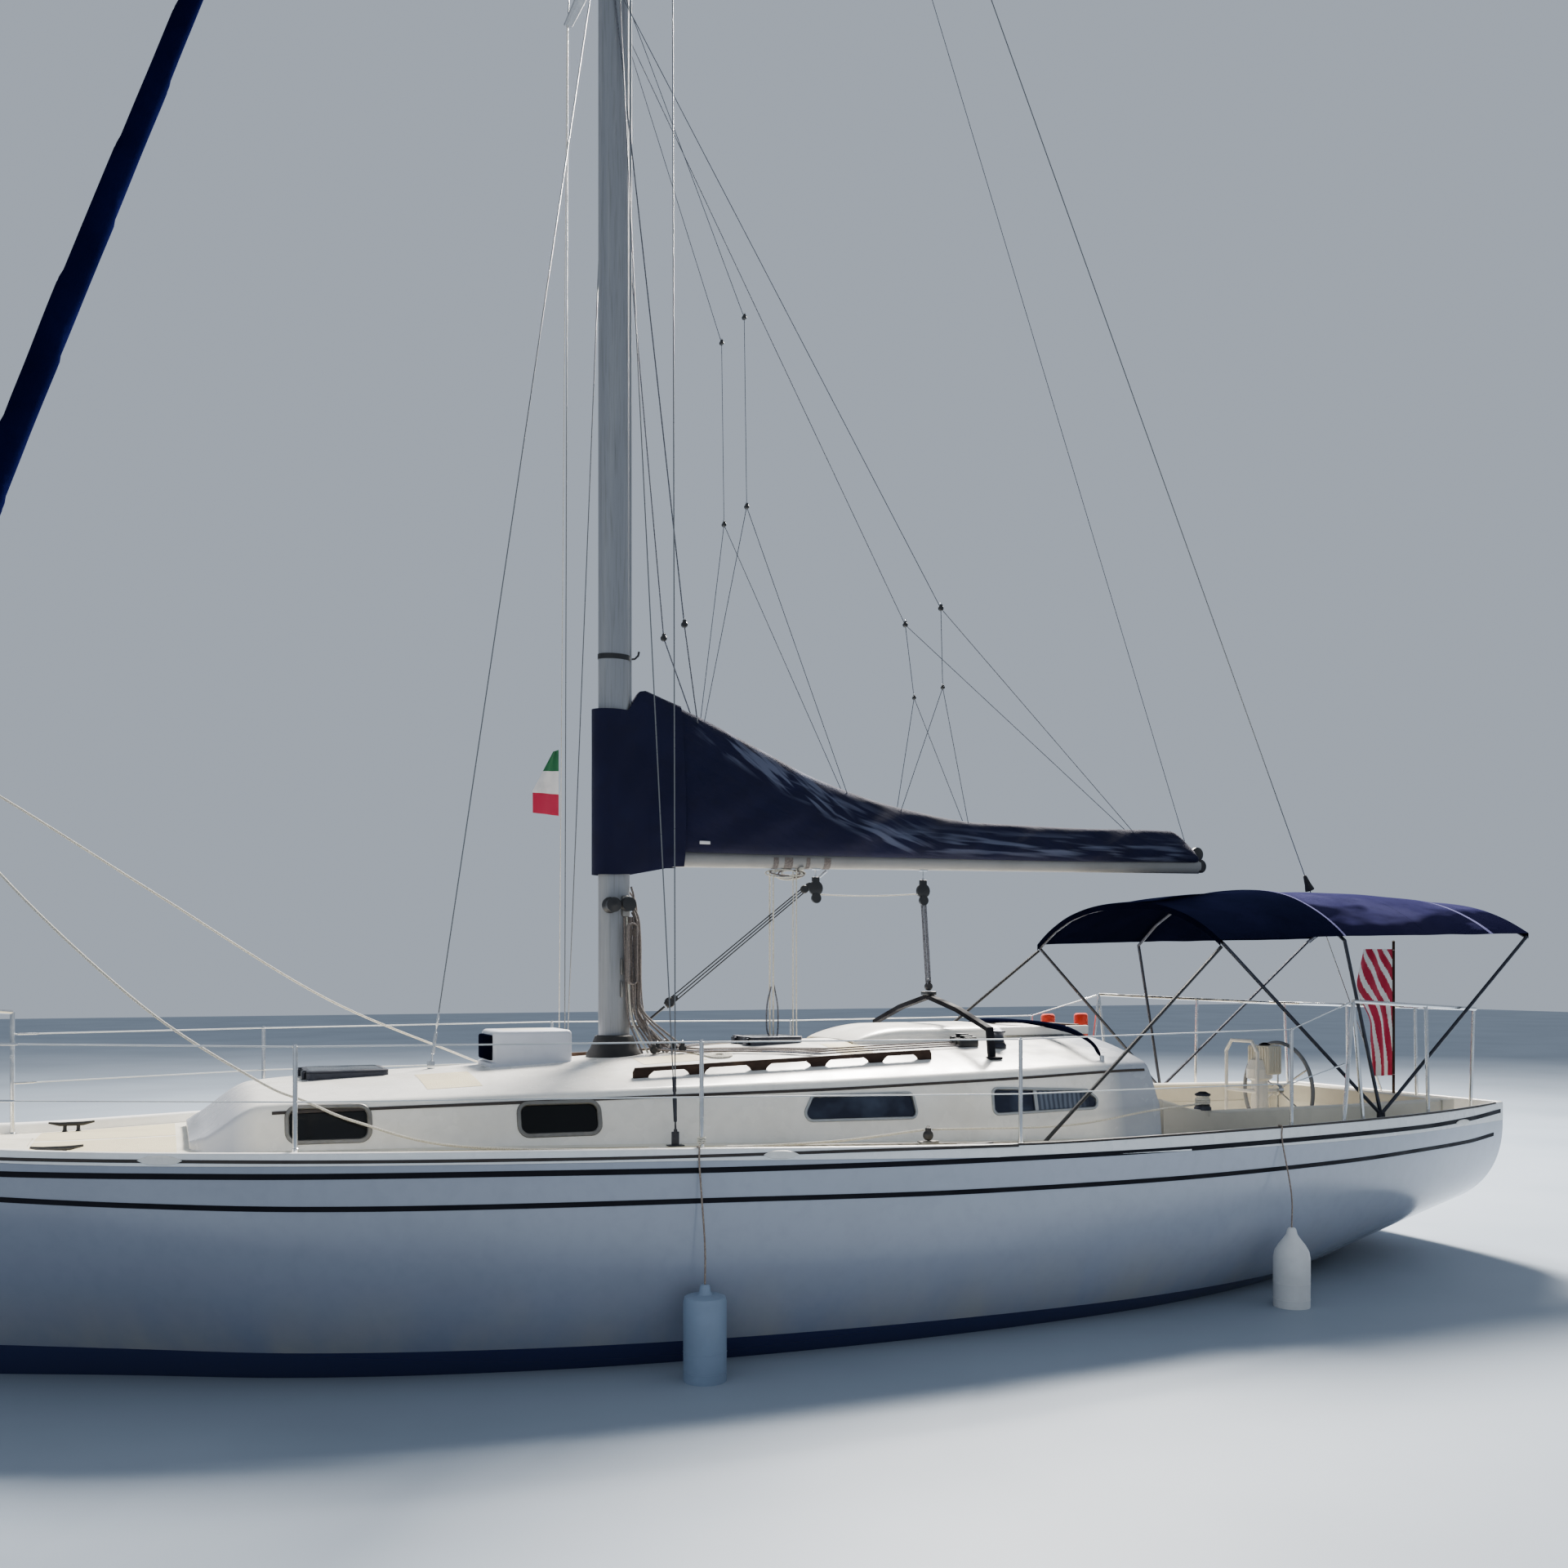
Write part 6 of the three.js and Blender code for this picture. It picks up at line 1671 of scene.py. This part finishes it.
# Running rigging
def make_boom_blocks():
    """Blocks, bands and rope bights under the boom."""
    blocks = Build()
    for x, z in ((-0.4, 2.64), (-1.21, 2.64)):
        block_sheave(blocks, (x, 0, z), 0.05, (0, 1))
        blocks.lathe(disc(0.034, 0.0, 0.018), (x, 0, z - 0.066), ACROSS, 18)
        boom_low = 2.749 + 0.071 * (0.78 - x) / 4.35
        blocks.tube([(x, 0, z + 0.05), (x, 0, boom_low)], 0.004, 8, 1)
        blocks.block((x - 0.03, -0.014, boom_low - 0.006), (x + 0.03, 0.014, boom_low + 0.004), 0.002, 1)
    blocks.block((-0.3, -0.043, 2.752), (-0.27, 0.043, 2.775), 0.002, 2)
    blocks.tube(sagging((-0.41, 0, 2.6), (-1.19, 0, 2.62), 0.012, 14), 0.0042, 8, 2)
    for x, wide in ((-0.1, 0.018), (-0.19, 0.03), (-0.33, 0.014), (-0.47, 0.024)):
        middle = 2.804 + 0.071 * (0.72 - x) / 4.28
        band = []
        for part in (x - wide, x + wide):
            band.append([(part, 0.0425 * cos(a), middle + 0.058 * sin(a))
                         for a in spread(math.radians(165), math.radians(375), 24)])
        blocks.grid(band, 3)
    for k in range(5):
        dip = 0.03 + 0.012 * (k % 3)
        points = []
        for a in spread(0, 2 * pi, 20):
            points.append(Vector((-0.24 + 0.02 * k + (0.085 + 0.008 * k) * cos(a), 0.014 * sin(2 * a + k),
                                  2.752 - dip * 0.5 + dip * 0.6 * sin(a))))
        blocks.tube(points, 0.0055, 8, 3 if k % 2 else 2)
    blocks.make("boom_blocks", "black_plastic stainless rope_white rope_worn", body="boom")


def make_vang():
    vang = Build()
    low, high = Vector((0.748, 0, 1.792)), Vector((-0.478, 0, 2.757))
    way = (high - low).normalized()
    square = way.cross(Vector(ACROSS))
    for apart in (-0.019, 0.0, 0.019):
        shift = square * apart
        vang.tube([low + way * 0.13 + shift, high - way * 0.2 + shift * 0.8], 0.0044, 8)
    for t, size in ((0.105, 0.034), (0.87, 0.028)):
        centre = between(low, high, t)
        vang.lathe([(0.0, -0.012), (size * 0.8, -0.012), (size, -0.006), (size, 0.006), (size * 0.8, 0.012),
                    (0.0, 0.012)], centre, ACROSS, 20, 0)
        other = centre + way * 0.042
        vang.lathe(disc(0.02, -0.01, 0.01), other, ACROSS, 16)
    vang.tube([low - way * 0.01, low + way * 0.12], 0.008, 10)
    vang.tube([between(low, high, 0.88), high], 0.009, 10, 2)
    vang.lathe([(0.0232, -0.0135), (0.0232, 0.0135), (0.01, 0.0135), (0.01, -0.0135)],
               (PIN_X, 0, VANG_PIN_Z), kind=2)
    vang.make("vang_tackle", "black_plastic rope_dark stainless", body="boom", slot="black", replaces="vang")


def make_boom_lines():
    """The mainsheet and the reef lines, which end on the boom."""
    sheet = Build()
    for dx, dy in ((-0.012, 0.01), (0.012, 0.01), (-0.012, -0.01), (0.012, -0.01)):
        sheet.tube([(-1.253 + dx, dy, 1.99), (-1.21 + dx, dy, 2.62)], 0.0052, 8)
    piece = sheet.make("mainsheet_falls", "rope_dark", body=None)
    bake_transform(piece)

    hang = Build()
    for x, y, size in ((-0.09, 0.012, 0.006), (-0.075, -0.012, 0.006), (-0.236, 0.0, 0.0046),
                       (-0.252, 0.02, 0.0046)):
        hang.tube([(x, y, roof_z(x, 0.0) + 0.015), (x, y, 2.755)], size, 8)
    hang.line([(-0.1, 0.0, 2.0), (-0.125, 0.005, 1.85), (-0.12, 0.01, 1.68), (-0.09, 0.01, 1.655),
               (-0.05, 0.005, 1.7), (-0.05, 0.0, 1.86), (-0.08, 0.0, 1.99)], 6, 0.0055, 8, 1)
    piece = hang.make("reef_lines", "rope_white rope_dark", body=None)
    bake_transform(piece)


# The lazy jacks' points on the port side, and the lines between them with their radius and sides
JACKS = {
    "mast_low": (1.02, 0.066, 8.3), "mast_high": (1.0, 0.066, 8.3), "mast_aft": (0.99, 0.066, 8.2),
    "low": (0.591, 0.2, 4.247), "upper": (0.19, 0.2, 6.23), "middle": (0.173, 0.2, 5.034),
    "aft": (-1.207, 0.25, 4.518), "last": (-1.25, 0.2, 4.0), "boom_1": (0.44, 0.03, 3.665),
    "boom_2": (0.4, 0.04, 3.68), "boom_3": (-0.62, 0.03, 3.27), "boom_4": (-1.02, 0.03, 3.17),
    "boom_5": (-1.55, 0.03, 3.115), "boom_6": (-2.953, 0.03, 3.1),
}
JACK_BLOCKS = (("low", 0.02), ("upper", 0.014), ("middle", 0.015), ("aft", 0.017), ("last", 0.012))
JACK_LINES = (
    ("mast_low", "low", 0.0046, 8), ("low", "boom_1", 0.0046, 8), ("mast_high", "upper", 0.0024, 6),
    ("upper", "middle", 0.0022, 6), ("middle", "boom_2", 0.0026, 6), ("middle", "boom_3", 0.0026, 6),
    ("mast_aft", "aft", 0.0028, 6), ("aft", "last", 0.0026, 6), ("last", "boom_5", 0.0026, 6),
    ("last", "boom_4", 0.0026, 6), ("aft", "boom_6", 0.0028, 6),
)


def make_lazy_jacks():
    for side_name, side in SIDES.items():
        jack = Build()
        at = {key: Vector((x, side * y, z)) for key, (x, y, z) in JACKS.items()}
        for start, end, radius, sides in JACK_LINES:
            jack.tube([at[start], at[end]], radius, sides)
        for key, size in JACK_BLOCKS:
            block_sheave(jack, at[key], size, (1, 2))
        piece = jack.make(f"lazy_jacks_{side_name}", "rope_dark black_plastic stainless", body=None)
        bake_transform(piece)


def make_topping_lift():
    topping = Build()
    topping.tube([(0.83, 0, 14.36), (-3.49, 0, 2.915)], 0.0026, 6)
    piece = topping.make("topping_lift", "rope_dark", body=None)
    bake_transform(piece)


def make_halyards():
    """Ropes that leave the mast above the deck, and their turning blocks."""
    lines = Build()
    kinds = (1, 1, 2, 1, 0, 1)
    for k, (x, y) in enumerate(((0.938, 0.066), (0.921, 0.062), (0.904, 0.057), (0.888, 0.049), (0.872, 0.04),
                                (0.857, 0.03), (0.896, 0.068), (0.88, 0.06))):
        lean = 0.006 * sin(2.4 * k)
        lines.line([(x, y, 2.43), (x - 0.004 + lean, y + 0.004, 2.2), (x - 0.01, y + 0.006, 1.98),
                    (x - 0.022 - lean, y + 0.016, 1.8), (x - 0.05 - 0.01 * k, y + 0.06, 1.69),
                    (x - 0.09 - 0.02 * k, y + 0.09, roof_z(x - 0.09, y + 0.09) + 0.008)],
                   6, 0.007, 8, (1, 0, 1, 1, 2, 1, 1, 1)[k])
    for k, (y, z, foot) in enumerate((
        (0.03, 2.62, (0.7, 0.1)), (0.058, 2.48, (0.66, 0.17)), (0.05, 2.42, (0.76, 0.15)),
        (-0.03, 2.6, (0.7, -0.1)), (-0.05, 2.45, (0.66, -0.17)), (0.01, 2.38, (0.73, 0.04)),
        (0.066, 2.5, (0.62, 0.22)), (0.04, 2.46, (0.8, 0.2)), (-0.02, 2.4, (0.64, -0.05)),
    )):
        fx, fy = foot
        ground = roof_z(fx, fy)
        out = 0.862 - 0.011 * (k % 4)
        drop = [(0.882, y, z), (out, y, z - 0.12), (out - 0.006, y, 2.02), (out - 0.02, y * 1.2, 1.84),
                (fx, fy, ground + 0.05)]
        lines.line(drop, 8, 0.0066, 10, kinds[k % 6])
        block_sheave(lines, (fx - 0.01, fy, ground + 0.03), 0.024, (4, 5))
        run = [Vector((fx - 0.03, fy, ground + 0.034))]
        target = math.copysign(0.5 + 0.05 * (k % 3), fy)
        for x in spread(fx - 0.2, -1.14, 12):
            t = min((fx - x) / 0.9, 1.0)
            y2 = fy + (target - fy) * t
            run.append(Vector((x, y2, roof_z(x, y2) + 0.014)))
        lines.line(run, 3, 0.0052, 8, kinds[k % 6])
    lines.make("halyards", "rope_white rope_worn rope_dark rope_red_fleck black_plastic stainless")


COIL_ROPE = 0.0052


def free_rope(name, kind, path):
    """A rope's loose tail, from the point where it is made fast to its bare end."""
    tail = Build()
    tail.tube(path, COIL_ROPE, 10)
    piece = tail.make(name, kind)


def make_rope_tails():
    """Halyard tails, which the photo shows on the port side: a hank on the mast and a coil on the roof."""
    half, bend, pitch, turns = 0.16, 0.027, 2.2 * COIL_ROPE, 5
    loop = [(-bend * sin(a), half + bend * cos(a)) for a in spread(0, pi / 2, 5)]
    loop += [(-bend, z) for z in spread(half, -half, 9)[1:]]
    loop += [(-bend * cos(a), -half - bend * sin(a)) for a in spread(0, pi, 9)[1:]]
    loop += [(bend, z) for z in spread(-half, half, 9)[1:]]
    loop += [(bend * cos(a), half + bend * sin(a)) for a in spread(0, pi / 2, 5)[1:-1]]
    path = []
    for k in range(turns * len(loop) + 1):
        dx, dz = loop[k % len(loop)]
        path.append(Vector((0.905 + dx, 0.09 + pitch * k / len(loop), 2.2 + dz)))
    free_rope("hank_port", "rope_worn", path)

    start, middle, outer, inner, steps = Vector((0.585, 0.235)), Vector((0.44, 0.42)), 0.08, 0.028, 28
    away = start - middle
    first = math.atan2(away.y, away.x) + math.acos(outer / away.length)
    laid = []
    for k in range(int((outer - inner) / pitch * steps) + 1):
        a = first + 2 * pi * k / steps
        r = outer - pitch * k / steps
        laid.append((middle.x + r * cos(a), middle.y + r * sin(a)))
    lead = [tuple(start.lerp(Vector(laid[0]), t)) for t in spread(0, 1, 8)[:-1]]
    path = [Vector((x, y, roof_z(x, y) + COIL_ROPE + 0.0006)) for x, y in lead + laid]
    free_rope("coil_port", "rope_white", path)


def make_genoa_sheets():
    clew = Vector((4.8, 0.0, 3.27))
    block_z, aft_z = deck_z(-0.47, TRACK_Y) + 0.098, deck_z(LEAD_X, TRACK_Y) + 0.098
    sheets = Build()
    sheets.line([
        clew + Vector((0, 0.02, 0)), (4.334, 0.25, 2.595), (3.668, 0.5, 1.917), (3.119, 0.76, 1.53),
        (2.887, 0.86, 1.421), (2.645, 0.94, 1.313), (2.163, 1.12, deck_z(2.163, 1.12) + 0.03),
        (1.2, 1.33, deck_z(1.2, 1.33) + 0.012), (0.2, 1.36, deck_z(0.2, 1.36) + 0.035),
        (-0.47, 1.345, block_z),
    ], 10, 0.0068, 10)
    sheets.line([
        clew + Vector((0, -0.02, 0)), (4.367, -0.1, 3.03), (3.564, -0.35, 2.51), (2.639, -0.62, 1.921),
        (1.72, -0.85, 1.515),
    ], 10, 0.0068, 10)
    sheets.line([
        (1.72, -0.85, 1.515), (1.45, -1.02, 1.4), (1.1, -1.3, deck_z(1.1, 1.3) + 0.02),
        (0.2, -1.36, deck_z(0.2, 1.36) + 0.035), (-0.47, -1.345, block_z),
    ], 8, 0.0062, 10)
    foot, head = FORESTAY
    axis = (head - foot).normalized()
    for h in (1.95, 1.97, 1.99):
        sheets.ring(foot + axis * h + Vector((0.95, 0, 0.31)) * 0.04, axis, 0.081, 0.0062, 30)
    for side in SIDES.values():
        sheets.line([(-0.53, side * TRACK_Y, aft_z), (-1.5, side * 1.26, deck_z(-1.5, 1.26) + 0.1),
                     (-2.2, side * 1.17, 1.2), (-2.67, side * 1.1, 1.222)], 8, 0.0062, 10)
        for k in range(3):
            sheets.ring((WINCH_X, side * WINCH_Y, 1.222 + 0.0125 * k), UP, 0.0445, 0.0058, 28)
    sheets.make("genoa_sheets", "rope_white")


def make_mast_base():
    base = Build()
    base.lathe([(0.175, 0.0), (0.175, 0.018), (0.15, 0.05), (0.132, 0.095), (0.118, 0.128), (0.1045, 0.134)],
               (MAST_X, 0, 1.56), sides=36, kind=0)
    base.make("mast_gaiter", "rubber")


def make_room():
    world = bpy.data.worlds.new("world")
    bpy.context.scene.world = world
    world.use_nodes = True
    background = world.node_tree.nodes["Background"]
    background.inputs["Color"].default_value = (0.74, 0.84, 0.98, 1)
    background.inputs["Strength"].default_value = 0.54
    floor = Build().add([(-60, -60, 0), (60, -60, 0), (60, 60, 0), (-60, 60, 0)], [(0, 1, 2, 3)])
    ground = Look("floor", (150, 162, 176), 0.6)
    ground.tint((138, 150, 164), ground.noise(0.4, 4), 0.4, 0.7)
    floor.make("floor", "floor", body=None)
    for name, place, target, size, power, color in (
        ("key", (-8, -10, 15), (0, 0, 1), 6, 22000, (1.0, 0.95, 0.88)),
        ("fill", (10, 16, 9), (0, 0, 1), 12, 150, (0.86, 0.92, 1.0)),
    ):
        data = bpy.data.lights.new(name, "AREA")
        data.size = size
        data.energy = power
        data.color = color
        lamp = bpy.data.objects.new(name, data)
        lamp.location = place
        direction = Vector(target) - Vector(place)
        lamp.rotation_euler = direction.to_track_quat("-Z", "Y").to_euler()
        bpy.context.scene.collection.objects.link(lamp)


make_coachroof()
make_window_frames()
make_hatches()
make_sea_hood()
make_mast()
make_sail_cover()
make_mast_cover()
make_boom()
make_headsail()
make_bimini()
make_shrouds()
make_lifelines()
make_deck_pads()
make_deck_gear()
make_winches()
make_vent_box()
make_handrails()
make_traveller()
make_companionway_gear()
make_cockpit_looks()
make_buoy()
make_fenders()
make_ensign()
make_courtesy_flag()
make_boom_blocks()
make_vang()
make_boom_lines()
make_lazy_jacks()
make_topping_lift()
make_halyards()
make_rope_tails()
make_genoa_sheets()
make_mast_base()
make_room()
